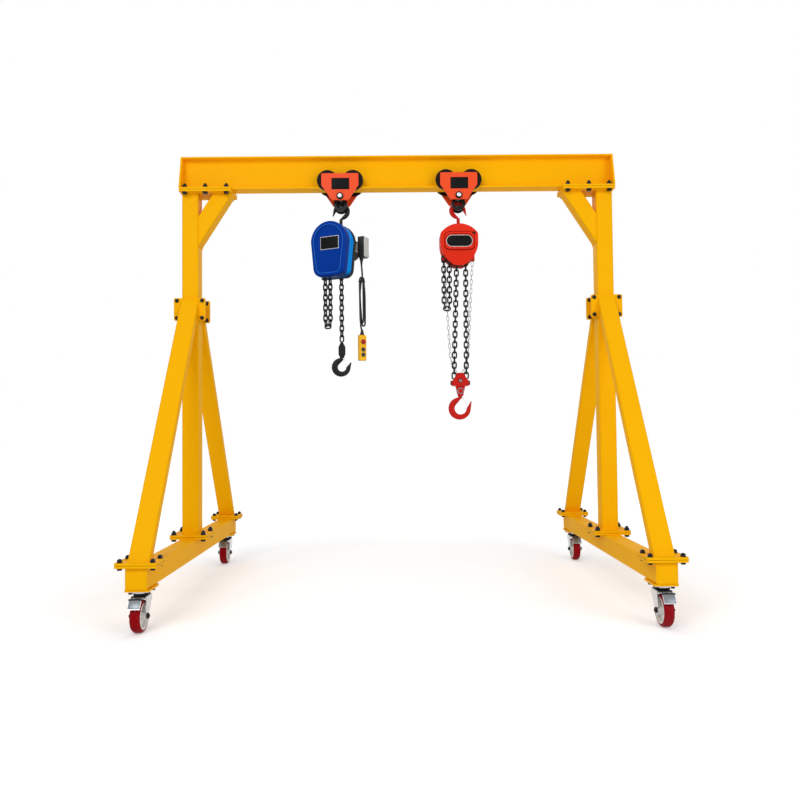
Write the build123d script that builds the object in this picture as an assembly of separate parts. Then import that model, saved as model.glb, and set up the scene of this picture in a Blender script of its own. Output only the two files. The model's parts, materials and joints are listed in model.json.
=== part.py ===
from build123d import *
import math
import os

# Portable gantry crane with two trolley hoists. Millimetres, +Z up, X along the beam,
# Y across it, origin on the floor under the middle of the beam.

# Beam
overall_height = 2500.0
beam_length = 2510.0
beam_depth = 190.0
flange_width = 90.0
flange_tip = 9.0
flange_root = 13.0
web_thickness = 7.0
root_radius = 9.0
tip_radius = 4.0
end_plate_thickness = 10.0

# Bolted plates at the head of each leg
seat_length = 300.0
seat_width = 180.0
seat_thickness = 12.0
head_thickness = 12.0

# Tubes
post_inset = 55.0
tube_wall = 4.5
tube_corner = 9.0
post_tube = 95.0
knee_tube = 95.0
brace_width = 100.0
brace_depth = 50.0
base_width = 100.0
base_height = 100.0
base_length = 1900.0
cap_thickness = 5.0
fit = 0.3

# Knee between post and head plate
knee_angle = 32.6
knee_drop = 219.0

# Clamp round each post, which carries the two braces
clamp_share = 0.6555
clamp_width = 180.0
clamp_depth = 130.0
clamp_thickness = 12.0
clamp_corner = 8.0
brace_top_margin = 12.0

# Feet on the base beams
foot_inset = 55.0
brace_foot_width = 190.0
brace_foot_depth = 146.0
post_foot_width = 206.0
post_foot_depth = 200.0
pad_thickness = 12.0
foot_thickness = 12.0
plate_corner = 6.0

# Casters
caster_height = 190.0
caster_inset = 80.0
caster_trail = 35.0
caster_pad_thickness = 10.0
caster_pad_width = 112.0
caster_pad_length = 150.0
head_plate_thickness = 6.0
head_plate_width = 96.0
head_plate_length = 112.0
race_radius = 36.0
race_depth = 10.0
wheel_radius = 75.0
tread_depth = 14.0
tread_width = 46.0
crown = 4.0
fork_gap = 64.0
fork_sheet = 4.0
fork_nose = 17.0
fork_front = 10.0
kingpin_radius = 32.0
axle_radius = 7.0
axle_nut_radius = 11.0
axle_nut_depth = 7.0
hub_boss_radius = 19.0
hub_web = 12.0
rim_wall = 9.0
wheel_clearance = 7.0
pedal_width = 56.0
pedal_sheet = 3.0
pedal_lip_angle = 29.0
pedal_lip = 8.0
pedal_bow = 6.0
pedal_dip = 2.0
pedal_pin_radius = 5.0

# Trolleys
left_trolley_x = -331.0
right_trolley_x = 355.0
trolley_top_width = 215.0
trolley_bottom_width = 96.0
trolley_above_beam = 80.0
trolley_shoulder = 10.0
trolley_below_beam = 77.0
trolley_plate = 8.0
trolley_corner = 8.0
trolley_chamfer = 2.5
trolley_wheel_spacing = 147.0
trolley_tread_radius = 33.0
trolley_flange_radius = 60.0
trolley_flange_depth = 9.0
trolley_side_gap = 5.0
stub_radius = 9.0
load_pin_drop = 54.0
load_pin_radius = 10.0
load_nut_radius = 19.0
load_nut_depth = 9.0
load_pin_tail = 3.0
load_collar_radius = 16.0
load_eye_radius = 26.0
hanger_drop = 110.0
hanger_bar_radius = 11.0
hanger_radius = 40.0
hanger_window = 24.0
hanger_sheet = 10.0
hanger_gap = 48.0

# Hooks: a bowl inside a heavier back, a pointed tip and a round-necked shank
top_hook_bowl = 26.0
top_hook_back = 27.0
top_hook_drop = 106.0
electric_hook_bowl = 24.5
block_hook_bowl = 34.5
hook_back = 36.0
hook_depth = 24.0
hook_outer_share = 0.85
hook_shank_share = 0.36
hook_tip_share = 0.76
hook_tip_height = 1.25
hook_tip_blunt = 0.16
hook_blade_angle = 12.0
hook_neck_turn = 135.0
hook_throat = 1.95
hook_shank_low = 0.9
top_hook_depth = 20.0
hook_boss_radius = 18.0
hook_boss_depth = 30.0

# Load chain and hand chain
chain_wire = 9.0
chain_pitch = 30.0
chain_inner_width = 13.0
hand_wire = 3.2
hand_pitch = 27.0
hand_inner_width = 9.0
chain_play = 0.3
chain_slot = 1.0

# Electric chain hoist
hoist_turn = -24.0
hoist_radius = 115.0
hoist_height = 316.0
hoist_foot_width = 190.0
hoist_foot_radius = 52.0
hoist_front = 160.0
cover_depth = 45.0
cover_round = 12.0
cover_rim = 20.0
cover_recess = 5.0
housing_inset = 5.0
housing_depth = 58.0
band_inset = 2.0
band_depth = 26.0
frame_radius = 62.0
frame_depth = 64.0
frame_foot_width = 124.0
frame_foot_radius = 12.0
motor_radius = 60.0
motor_depth = 118.0
motor_round = 14.0
motor_drop = 115.0
box_gap = 25.0
box_width = 42.0
box_depth = 54.0
box_height = 122.0
box_drop = 55.0
box_back = 45.0
box_round = 5.0
box_arm = 22.0
gland_radius = 11.0
gland_depth = 16.0
electric_fall = 340.0
electric_slack = 240.0
slack_gap = 32.4
slack_offset = -68.0
sleeve_radius = 20.5
sleeve_neck_radius = 9.0
sleeve_foot_radius = 14.0
sleeve_height = 80.0
sleeve_cone = 24.0
electric_hook_drop = 62.0
guide_depth = 14.0
guide_half = 24.0

# Pendant control
pendant_turn = 48.0
pendant_width = 44.0
pendant_depth = 36.0
pendant_height = 150.0
pendant_round = 8.0
cable_radius = 5.0
cable_upper = 94.0
cable_lower = 46.0
hank_width = 46.0
hank_depth = 24.0
hank_height = 300.0
hank_round = 10.0

# Hand chain block
block_width = 218.0
block_height = 238.0
block_shoulder = 57.0
block_side = 54.0
block_foot_width = 44.0
block_foot_bulge = 0.78
block_foot_share = 0.59
block_corner = 14.0
block_round = 12.0
block_cover_depth = 52.0
block_core_depth = 44.0
block_core_inset = 8.0
block_label_width = 160.0
block_label_height = 76.0
block_label_drop = 103.0
block_recess = 4.0
block_crease_drop = 160.0
block_crease_angle = 22.0
block_fall = 632.0
fall_gap = 72.0
fall_top_left = -14.0
fall_top_right = 40.0
block_slack = 258.0
block_slack_offset = -72.0
hand_loop_drop = 715.0
hand_wheel_radius = 84.0
hand_foot = 44.0
hand_guide_rise = 42.0
hand_guide_width = 26.0
bottom_block_width = 88.0
bottom_block_top_width = 34.0
bottom_block_height = 134.0
bottom_block_depth = 54.0
bottom_block_body = 76.0
bottom_block_shoulder = 46.0
chain_seat_drop = 40.0
bottom_boss_radius = 16.0
bottom_boss_reach = 7.0
bottom_boss_rise = 18.0
bottom_window_radius = 14.0
bottom_window_depth = 8.0
clevis_width = 56.0
clevis_foot_width = 30.0
clevis_depth = 38.0
clevis_pin_radius = 13.0
clevis_pin_proud = 3.0
block_hook_drop = 72.0

# Worked out from the sizes above
half_gauge = beam_length / 2 - post_inset
beam_bottom = overall_height - beam_depth
head_top = beam_bottom - seat_thickness
post_top = head_top - head_thickness
base_bottom = caster_height + caster_pad_thickness
base_top = base_bottom + base_height
foot_bottom = base_top + pad_thickness
foot_top = foot_bottom + foot_thickness
knee_height = post_top - knee_drop
clamp_height = foot_top + clamp_share * (post_top - foot_top)
foot_spacing = base_length / 2 - foot_inset
seat_centre = (beam_length - seat_length) / 2
flange_slope = (flange_root - flange_tip) / ((flange_width - web_thickness) / 2)
swivel_y = base_length / 2 - caster_inset
hanger_z = beam_bottom - hanger_drop
hoist_top = hanger_z - top_hook_drop
top_hook_z = hanger_z + hanger_bar_radius + fit - top_hook_bowl
LEFT_RIGHT = (-1, 1)
FRONT_REAR = (-1, 1)


def box(x0, x1, y0, y1, z0, z1):
    """A block between two corners."""
    return Pos((x0 + x1) / 2, (y0 + y1) / 2, (z0 + z1) / 2) * Box(x1 - x0, y1 - y0, z1 - z0)


def plate(width, depth, thickness, x, y, z, corner=plate_corner):
    """A flat plate with rounded corners, lying at height z."""
    return Pos(x, y, z) * extrude(RectangleRounded(width, depth, corner), thickness)


def rod(radius, start, end):
    """A round bar from one point to another."""
    way = Vector(*end) - Vector(*start)
    return Plane(origin=start, z_dir=way) * extrude(Circle(radius), way.length)


def tube(width, depth, length):
    """A rectangular hollow section standing on its end."""
    outer = RectangleRounded(width, depth, tube_corner)
    inner = RectangleRounded(width - 2 * tube_wall, depth - 2 * tube_wall, tube_corner - tube_wall)
    return extrude(outer - inner, length)


def across(face, y0, y1):
    """A face drawn in X and Z, given depth from y0 to y1."""
    return Plane((0, y1, 0), x_dir=(1, 0, 0), z_dir=(0, -1, 0)) * extrude(face, y1 - y0)


def save(name, *solids):
    """Write one node, made of one or more separate solids."""
    shape = solids[0] if len(solids) == 1 else Compound(list(solids))
    export_step(shape, f"parts/{name}.step")


# Beam and head plates

def i_beam():
    half = flange_width / 2
    top = overall_height
    low = beam_bottom
    web = web_thickness / 2
    quarter = [(half, low), (half, low + flange_tip), (web, low + flange_root)]
    upper = [(y, top + low - z) for y, z in reversed(quarter)]
    right = quarter + upper
    left = [(-y, z) for y, z in reversed(right)]
    face = make_face(Polyline(*right, *left, close=True))
    tips = [v for v in face.vertices() if abs(v.X) > half - 0.01 and low + 1 < v.Y < top - 1]
    face = fillet(tips, tip_radius)
    roots = [v for v in face.vertices() if abs(abs(v.X) - web) < 0.01]
    face = fillet(roots, root_radius)
    length = beam_length - 2 * end_plate_thickness
    return Plane((-length / 2, 0, 0), x_dir=(0, 1, 0), z_dir=(1, 0, 0)) * extrude(face, length)


def end_plate(side):
    top = flange_width / 2
    low = seat_width / 2
    face = make_face(Polyline((-low, beam_bottom), (low, beam_bottom), (top, overall_height),
                              (-top, overall_height), close=True))
    start = side * (beam_length / 2 - (end_plate_thickness if side > 0 else 0))
    return Plane((start, 0, 0), x_dir=(0, 1, 0), z_dir=(1, 0, 0)) * extrude(face, end_plate_thickness)


def knee(side):
    inner = half_gauge - post_tube / 2
    reach = 2 * (post_top - knee_height) / math.cos(math.radians(knee_angle))
    bar = Pos(inner, 0, knee_height) * Rot(0, -knee_angle, 0) * Pos(0, 0, -reach / 2) * tube(
        knee_tube, knee_tube, 2 * reach)
    room = box(inner - reach * 2, inner, -knee_tube, knee_tube, knee_height - reach, post_top)
    bar = bar & room
    return bar if side > 0 else mirror(bar, Plane.YZ)


def brace(side, end):
    face_y = post_tube / 2 + clamp_thickness
    top_z = clamp_height + clamp_depth / 2 - brace_top_margin
    run = foot_spacing - face_y
    rise = top_z - foot_top
    lean = math.atan2(run, rise) + math.asin(brace_depth / 2 / math.hypot(run, rise))
    length = 2 * math.hypot(run, rise)
    bar = Pos(0, -foot_spacing, foot_top) * Rot(-math.degrees(lean), 0, 0) * Pos(0, 0, -length / 4) * tube(
        brace_width, brace_depth, length)
    room = box(-brace_width, brace_width, -foot_spacing * 2, -face_y, foot_top, top_z + brace_depth)
    bar = bar & room
    bar = bar if end < 0 else mirror(bar, Plane.XZ)
    return Pos(side * half_gauge, 0, 0) * bar


def clamp_plate(side, end):
    gap = post_tube / 2
    y0, y1 = sorted((end * gap, end * (gap + clamp_thickness)))
    face = Pos(side * half_gauge, clamp_height) * RectangleRounded(clamp_width, clamp_depth, clamp_corner)
    return across(face, y0, y1)


def foot_plates(z, thickness):
    made = []
    for side in LEFT_RIGHT:
        x = side * half_gauge
        for end in FRONT_REAR:
            made.append(plate(brace_foot_width, brace_foot_depth, thickness, x, end * foot_spacing, z))
        made.append(plate(post_foot_width, post_foot_depth, thickness, x, 0, z))
    return made


def base_beam(side):
    bar = Pos(side * half_gauge, base_length / 2, base_bottom + base_height / 2) * Rot(90, 0, 0) * tube(
        base_width, base_height, base_length)
    return bar


def base_cap(side, end):
    room = tube_wall + fit
    face = Pos(side * half_gauge, base_bottom + base_height / 2) * RectangleRounded(
        base_width - 2 * room, base_height - 2 * room, tube_corner - tube_wall)
    y0, y1 = sorted((end * base_length / 2, end * (base_length / 2 - cap_thickness)))
    return across(face, y0, y1)


def make_frame():
    save("main_beam", i_beam())
    save("beam_end_plates", *[end_plate(s) for s in LEFT_RIGHT])
    save("beam_seat_plates", *[plate(seat_length, seat_width, seat_thickness, s * seat_centre, 0, head_top)
                               for s in LEFT_RIGHT])
    save("leg_head_plates", *[plate(seat_length, seat_width, head_thickness, s * seat_centre, 0, post_top)
                              for s in LEFT_RIGHT])
    for side, name in zip(LEFT_RIGHT, ("left", "right")):
        post = tube(post_tube, post_tube, post_top - foot_top)
        save(f"{name}_post", Pos(side * half_gauge, 0, foot_top) * post)
        save(f"{name}_base_beam", base_beam(side))
    save("knee_braces", *[knee(s) for s in LEFT_RIGHT])
    save("leg_braces", *[brace(s, e) for s in LEFT_RIGHT for e in FRONT_REAR])
    save("clamp_plates", *[clamp_plate(s, e) for s in LEFT_RIGHT for e in FRONT_REAR])
    save("base_pads", *foot_plates(base_top, pad_thickness))
    save("foot_plates", *foot_plates(foot_bottom, foot_thickness))
    save("base_end_caps", *[base_cap(s, e) for s in LEFT_RIGHT for e in FRONT_REAR])
    pads = []
    heads = []
    for side in LEFT_RIGHT:
        for end in FRONT_REAR:
            x = side * half_gauge
            y = end * swivel_y
            pads.append(plate(caster_pad_width, caster_pad_length, caster_pad_thickness, x, y, caster_height))
            heads.append(Pos(x, y, 0) * caster_head())
    save("caster_pads", *pads)
    save("caster_heads", *heads)


# Casters, drawn with the swivel axis on Z and the wheel trailing towards -Y

def caster_head():
    top = caster_height - head_plate_thickness
    return plate(head_plate_width, head_plate_length, head_plate_thickness, 0, 0, top) + rod(
        race_radius, (0, 0, top - race_depth), (0, 0, top))


def caster_yoke():
    race_top = caster_height - head_plate_thickness - race_depth - fit
    roof_top = race_top - race_depth
    roof_low = roof_top - fork_sheet
    half = fork_gap / 2
    axle_y = -caster_trail
    front = axle_y - fork_front
    rear = race_radius
    roof = box(-half - fork_sheet, half + fork_sheet, front, rear, roof_low, roof_top)
    side_face = make_hull(
        (Pos((front + rear) / 2, roof_top - fork_nose / 2) * Rectangle(rear - front, fork_nose)).edges()
        + (Pos(axle_y, wheel_radius) * Circle(fork_nose)).edges())
    yoke = roof + rod(kingpin_radius, (0, 0, roof_top), (0, 0, race_top))
    for side in LEFT_RIGHT:
        start = half if side > 0 else -half - fork_sheet
        yoke += Plane((start, 0, 0), x_dir=(0, 1, 0), z_dir=(1, 0, 0)) * extrude(side_face, fork_sheet)
        nut = half + fork_sheet
        yoke += rod(axle_nut_radius, (side * nut, axle_y, wheel_radius),
                    (side * (nut + axle_nut_depth), axle_y, wheel_radius))
    yoke += rod(axle_radius, (-half, axle_y, wheel_radius), (half, axle_y, wheel_radius))
    return yoke


def pedal_pin_place():
    roof_low = caster_height - head_plate_thickness - 2 * race_depth - fit - fork_sheet
    return -caster_trail - fork_front - pedal_pin_radius - fit, roof_low + fork_sheet / 2


def brake_pedal():
    y0, z0 = pedal_pin_place()
    away = wheel_radius + wheel_clearance + pedal_sheet
    lip = math.radians(pedal_lip_angle)
    y1 = -caster_trail - (away + pedal_lip) * math.cos(lip)
    z1 = wheel_radius + (away + pedal_lip) * math.sin(lip)
    middle = ((y0 + y1) / 2 - pedal_bow, z0 - pedal_dip)
    face = trace(Polyline((y0, z0), middle, (y1, z1)), pedal_sheet)
    sheet = Plane((-pedal_width / 2, 0, 0), x_dir=(0, 1, 0), z_dir=(1, 0, 0)) * extrude(face, pedal_width)
    return sheet + rod(pedal_pin_radius, (-pedal_width / 2, y0, z0), (pedal_width / 2, y0, z0))


def spun(points, y, z):
    """A ring about an axis along X, from a half section given as along and out."""
    face = make_face(Polyline(*points, close=True))
    ring = revolve(face, Axis.X)
    return Pos(0, y, z) * ring


def wheel_hub():
    rim = wheel_radius - tread_depth
    half = tread_width / 2
    bore = axle_radius + fit
    boss = fork_gap / 2 - fit
    inner = rim - rim_wall
    web = hub_web / 2
    points = [(-boss, bore), (boss, bore), (boss, hub_boss_radius), (web, hub_boss_radius), (web, inner),
              (half, inner), (half, rim), (-half, rim), (-half, inner), (-web, inner),
              (-web, hub_boss_radius), (-boss, hub_boss_radius)]
    return spun(points, -caster_trail, wheel_radius)


def wheel_tyre():
    rim = wheel_radius - tread_depth + fit / 2
    half = tread_width / 2
    shoulder = wheel_radius - crown
    points = [(-half, rim), (half, rim), (half, shoulder - crown), (half - crown, shoulder),
              (half / 2, wheel_radius), (-half / 2, wheel_radius), (crown - half, shoulder),
              (-half, shoulder - crown)]
    return spun(points, -caster_trail, wheel_radius)


def make_casters():
    pieces = {"yoke": caster_yoke(), "brake_pedal": brake_pedal(), "hub": wheel_hub(), "tyre": wheel_tyre()}
    for side, across_name in zip(LEFT_RIGHT, ("left", "right")):
        for end, along_name in zip(FRONT_REAR, ("front", "rear")):
            place = Pos(side * half_gauge, end * swivel_y, 0)
            for piece, shape in pieces.items():
                save(f"{along_name}_{across_name}_caster_{piece}", place * shape)


# Trolleys, drawn about X = 0

wheel_z = beam_bottom + flange_tip + trolley_tread_radius + fit
trolley_inner = flange_width / 2 + 2 * trolley_side_gap + trolley_flange_depth
load_pin_z = beam_bottom - load_pin_drop


def trolley_plates():
    top = trolley_top_width / 2
    low = trolley_bottom_width / 2
    z_top = beam_bottom + trolley_above_beam
    z_mid = beam_bottom + trolley_shoulder
    z_low = beam_bottom - trolley_below_beam
    face = make_face(Polyline((-low, z_low), (low, z_low), (top, z_mid), (top, z_top), (-top, z_top),
                              (-top, z_mid), close=True))
    face = fillet(face.vertices(), trolley_corner)
    face -= Pos(0, load_pin_z) * Circle(load_pin_radius + fit)
    made = []
    for end in FRONT_REAR:
        y0, y1 = sorted((end * trolley_inner, end * (trolley_inner + trolley_plate)))
        side = across(face, y0, y1)
        outer = side.faces().sort_by(Axis.Y)[0 if end < 0 else -1]
        side = chamfer(outer.outer_wire().edges(), trolley_chamfer)
        for step in LEFT_RIGHT:
            x = step * trolley_wheel_spacing / 2
            side += rod(stub_radius, (x, end * (web_thickness / 2 + root_radius + trolley_side_gap), wheel_z),
                        (x, end * trolley_inner, wheel_z))
        made.append(side)
    return made


def trolley_wheel_pair(x):
    inner = web_thickness / 2 + root_radius + trolley_side_gap
    edge = flange_width / 2 + trolley_side_gap
    rim = edge + trolley_flange_depth
    seat = flange_width / 2
    small = trolley_tread_radius - flange_slope * (seat - inner)
    bore = stub_radius + fit
    boss = trolley_inner - fit
    points = [(inner, bore), (boss, bore), (boss, 2 * stub_radius), (rim, 2 * stub_radius),
              (rim, trolley_flange_radius), (edge, trolley_flange_radius), (edge, trolley_tread_radius),
              (seat, trolley_tread_radius), (inner, small)]
    ring = revolve(make_face(Polyline(*points, close=True)), Axis.X)
    rear = Pos(x, 0, wheel_z) * Rot(0, 0, 90) * ring
    return [rear, mirror(rear, Plane.XZ)]


def trolley_hanger():
    outer = trolley_inner + trolley_plate
    half = hanger_gap / 2
    window_z = hanger_z + hanger_window - hanger_bar_radius / 2
    face = make_hull((Pos(0, load_pin_z) * Circle(load_eye_radius)).edges()
                     + (Pos(0, window_z) * Circle(hanger_radius)).edges())
    face -= Pos(0, window_z) * Circle(hanger_window)
    hanger = rod(load_pin_radius, (0, -outer - load_nut_depth - load_pin_tail, load_pin_z),
                 (0, outer + load_nut_depth + load_pin_tail, load_pin_z))
    for end in FRONT_REAR:
        y0, y1 = sorted((end * half, end * (half + hanger_sheet)))
        hanger += across(face, y0, y1)
        hanger += rod(load_collar_radius, (0, end * (half + hanger_sheet), load_pin_z),
                      (0, end * (trolley_inner - fit), load_pin_z))
        hanger += rod(load_nut_radius, (0, end * (outer + fit), load_pin_z),
                      (0, end * (outer + load_nut_depth), load_pin_z))
    bar_end = half + hanger_sheet
    return hanger + rod(hanger_bar_radius, (0, -bar_end, hanger_z), (0, bar_end, hanger_z))


def make_trolleys():
    for name, x in (("left", left_trolley_x), ("right", right_trolley_x)):
        place = Pos(x, 0, 0)
        save(f"{name}_trolley_plates", *[place * s for s in trolley_plates()])
        save(f"{name}_trolley_hanger", place * trolley_hanger())
        for step, end in zip(LEFT_RIGHT, ("a", "b")):
            pair = trolley_wheel_pair(step * trolley_wheel_spacing / 2)
            save(f"{name}_trolley_wheels_{end}", *[place * s for s in pair])


# Hooks

def hook(bowl, back, depth, drop, tip_side):
    """A hook with its bowl about the origin, its shank ending at drop above it and its tip to one side."""
    outer = bowl + back * hook_outer_share
    offset = back - (outer - bowl)
    shank = back * hook_shank_share
    far = 2 * (outer + drop)
    tip = (bowl + back * hook_tip_share, bowl * hook_tip_height)
    blunt = back * hook_tip_blunt
    blade_angle = math.radians(hook_blade_angle)
    blade = (outer * math.cos(blade_angle) - offset, -outer * math.sin(blade_angle))
    neck_angle = math.radians(hook_neck_turn)
    neck = (bowl * math.cos(neck_angle), bowl * math.sin(neck_angle))
    shank_low = outer * hook_shank_low
    face = Pos(-offset, 0) * Circle(outer)
    face += make_face(Polyline((0, 0), blade, (tip[0] + blunt / 2, tip[1] - blunt), tip, close=True))
    face -= Circle(bowl)
    throat = Polyline(neck, (shank, bowl * hook_throat), (shank, far), (far, far), (far, tip[1]), tip,
                      (bowl, 0), (0, 0), close=True)
    face -= make_face(throat)
    face += Pos(0, (shank_low + drop) / 2) * Rectangle(2 * shank, drop - shank_low)
    solid = across(face, -depth / 2, depth / 2)
    return solid if tip_side > 0 else mirror(solid, Plane.YZ)


# Chain

def chain_link(pitch, wire, inner_width):
    """One link with its length on Z, lying in X and Z, made of flat-sided bar."""
    inner_length = pitch + chain_play
    outer = chamfer(Rectangle(inner_width + 2 * wire, inner_length + 2 * wire).vertices(), wire)
    inner = chamfer(Rectangle(inner_width, inner_length).vertices(), (inner_width - wire) / 2 - chain_play)
    return across(outer - inner, -wire / 2, wire / 2)


def chain(link, points, turn=0):
    """Links along a row of joints, every second one turned a quarter."""
    made = []
    for index, (start, end) in enumerate(zip(points, points[1:])):
        way = Vector(*end) - Vector(*start)
        middle = (Vector(*end) + Vector(*start)) * 0.5
        lean = math.degrees(math.atan2(way.X, way.Z))
        quarter = 90 * ((index + turn) % 2)
        made.append(Pos(middle) * Rot(0, lean, 0) * Rot(0, 0, quarter) * link)
    return made


def straight(start, end, pitch):
    """Joints from start towards end, one pitch apart."""
    way = Vector(*end) - Vector(*start)
    count = int(way.length // pitch)
    step = way.normalized() * pitch
    return [tuple(Vector(*start) + step * i) for i in range(count + 1)]


def hanging_loop(link, sizes, x, y, z, drop, half_at):
    """Links of a loop that hangs open at the top: two sides alike and one link across the foot."""
    pitch, wire, inner_width = sizes
    count = int(drop // pitch)
    narrow = (pitch - wire - chain_play) / 2
    points = [(x - half_at(0, narrow), y, z)]
    for _ in range(count):
        fall = pitch
        for _ in range(8):
            here = x - half_at(min(1, (z - points[-1][2] + fall) / (count * pitch)), narrow)
            fall = math.sqrt(pitch ** 2 - (here - points[-1][0]) ** 2)
        points.append((here, y, points[-1][2] - fall))
    side = chain(link, points, count)
    other = [mirror(solid, Plane.YZ.offset(x)) for solid in side]
    lean = math.atan2(abs(points[-1][0] - points[-2][0]), points[-2][2] - points[-1][2])
    turned = wire / 2 * (math.cos(lean) + math.sin(lean))
    bar_z = points[-1][2] - (wire + chain_play) / 2 * math.cos(lean)
    foot_z = bar_z + turned + chain_play - inner_width / 2
    return side + other + [Pos(x, y, foot_z) * Rot(0, 90, 0) * link]


def slack_chain(link, x, y, z, gap, drop):
    sizes = (chain_pitch, chain_wire, chain_inner_width)
    return hanging_loop(link, sizes, x, y, z, drop, lambda t, narrow: narrow if t > 0.99 else gap / 2)


# Electric chain hoist, drawn about the hook line and then turned

def arch(radius, top, height, foot_width, corner):
    centre = top - radius
    low = top - height
    foot = foot_width / 2
    outline = Wire([ThreePointArc((-radius, centre), (0, top), (radius, centre)),
                    Line((radius, centre), (foot, low)), Line((foot, low), (-foot, low)),
                    Line((-foot, low), (-radius, centre))])
    face = make_face(outline)
    return fillet([v for v in face.vertices() if v.Y < low + 1], corner)


electric_place = Pos(left_trolley_x, 0, 0) * Rot(0, 0, hoist_turn)
hoist_low = hoist_top - hoist_height
cover_back = cover_depth - hoist_front
housing_back = cover_back + housing_depth
band_back = housing_back + band_depth
frame_back = band_back + frame_depth
guide_low = hoist_low - guide_depth
box_left = motor_radius + box_gap
box_top = hoist_top - box_drop
box_low = box_top - box_height
chain_grip = chain_inner_width / 2 + chain_wire
slack_front = housing_back + chain_grip


def hoist_arch(inset):
    """The hoist's own outline, drawn in all round by inset."""
    foot = hoist_foot_width - 2 * inset
    return arch(hoist_radius - inset, hoist_top - inset, hoist_height - 2 * inset, foot,
                hoist_foot_radius - inset)


def electric_cover():
    cover = across(hoist_arch(0), -hoist_front, cover_back)
    cover = fillet(cover.faces().sort_by(Axis.Y)[0].edges(), cover_round)
    return cover - across(hoist_arch(cover_rim), -hoist_front - 1, -hoist_front + cover_recess)


def electric_housing():
    return across(hoist_arch(housing_inset), cover_back, housing_back)


def electric_motor():
    """The dark rear frame with its chain guides, and the motor behind it."""
    made = across(hoist_arch(band_inset), housing_back, band_back)
    made += across(arch(frame_radius, hoist_top, hoist_height, frame_foot_width, frame_foot_radius),
                   band_back, frame_back)
    made += rod(hook_boss_radius, (0, 0, hoist_top - hook_boss_depth), (0, 0, hoist_top))
    made += box(-guide_half, guide_half, band_back, -band_back, guide_low, hoist_low + hoist_foot_radius)
    mouth = slack_gap / 2 + chain_grip
    y = slack_front
    made += box(slack_offset - mouth, slack_offset + mouth, y - chain_grip, y + chain_grip,
                guide_low, hoist_low + hoist_foot_radius)
    centre = hoist_top - motor_drop
    motor = rod(motor_radius, (0, frame_back, centre), (0, frame_back + motor_depth, centre))
    made += fillet(motor.faces().sort_by(Axis.Y)[-1].edges(), motor_round)
    middle = box_back + box_depth / 2
    return made + box(0, box_left, middle - box_arm, middle + box_arm, centre - box_arm, centre + box_arm)


def electric_box():
    block = box(box_left, box_left + box_width, box_back, box_back + box_depth, box_low, box_top)
    side = block.faces().sort_by(Axis.X)[-1]
    block = fillet(side.edges(), box_round)
    x, y, z = cable_exit()
    return block + rod(gland_radius, (x, y, z), (x, y, z + gland_depth + box_round))


def cable_exit():
    return box_left + gland_radius + box_round, box_back + gland_radius + box_round, box_low - gland_depth


def pendant_hang():
    x, y, z = cable_exit()
    return x, y, z - cable_upper - hank_height - cable_lower


def pendant():
    x, y, top = pendant_hang()
    half_width = pendant_width / 2
    half_depth = pendant_depth / 2
    body = box(-half_width, half_width, -half_depth, half_depth, top - pendant_height, top)
    return Pos(x, y, 0) * Rot(0, 0, pendant_turn) * fillet(body.edges(), pendant_round)


def hook_sleeve(top):
    """A barrel-shaped sleeve between the chain and the hook, narrow where the chain goes in."""
    low = top - sleeve_height
    outline = Polyline((0, top), (sleeve_neck_radius, top), (sleeve_radius, top - sleeve_cone),
                       (sleeve_radius, low + sleeve_cone / 2), (sleeve_foot_radius, low), (0, low),
                       close=True)
    return revolve(Plane.XZ * make_face(outline), Axis.Z)


def make_electric_hoist():
    link = chain_link(chain_pitch, chain_wire, chain_inner_width)
    place = electric_place
    reach = chain_wire + 2 * chain_play
    save("electric_hoist_cover", place * electric_cover())
    save("electric_hoist_housing", place * electric_housing())
    save("electric_hoist_motor", place * electric_motor())
    save("electric_hoist_control_box", place * electric_box())
    top_hook = Rot(0, 180, 0) * hook(top_hook_bowl, top_hook_back, top_hook_depth, top_hook_z - hoist_top, 1)
    save("electric_hoist_top_hook", Pos(left_trolley_x, 0, top_hook_z) * top_hook)
    start = guide_low - reach
    fall = straight((0, 0, start), (0, 0, start - electric_fall), chain_pitch)
    links = chain(link, fall)
    links += slack_chain(link, slack_offset, slack_front, start, slack_gap, electric_slack)
    save("electric_hoist_load_chain", *[place * s for s in links])
    sleeve_top = fall[-1][2] - reach
    save("electric_hoist_hook_block", place * hook_sleeve(sleeve_top))
    low = sleeve_top - sleeve_height - fit
    low_hook = hook(electric_hook_bowl, hook_back, hook_depth, electric_hook_drop, 1)
    save("electric_hoist_hook", Pos(left_trolley_x, 0, low - electric_hook_drop) * low_hook)
    save("pendant_control", place * pendant())
    x, y, z = cable_exit()
    hank_top = z - cable_upper
    upper = rod(cable_radius, (x, y, z - fit), (x, y, hank_top + fit))
    lower = rod(cable_radius, (x, y, hank_top - hank_height - fit), (x, y, pendant_hang()[2] + fit))
    save("pendant_cable", place * upper, place * lower)
    hank = box(x - hank_width / 2, x + hank_width / 2, y - hank_depth / 2, y + hank_depth / 2,
               hank_top - hank_height, hank_top)
    save("pendant_cable_hank", place * fillet(hank.edges(), hank_round))


# Hand chain block

block_low = hoist_top - block_height
hand_guide_low = block_low + hand_guide_rise


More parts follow.
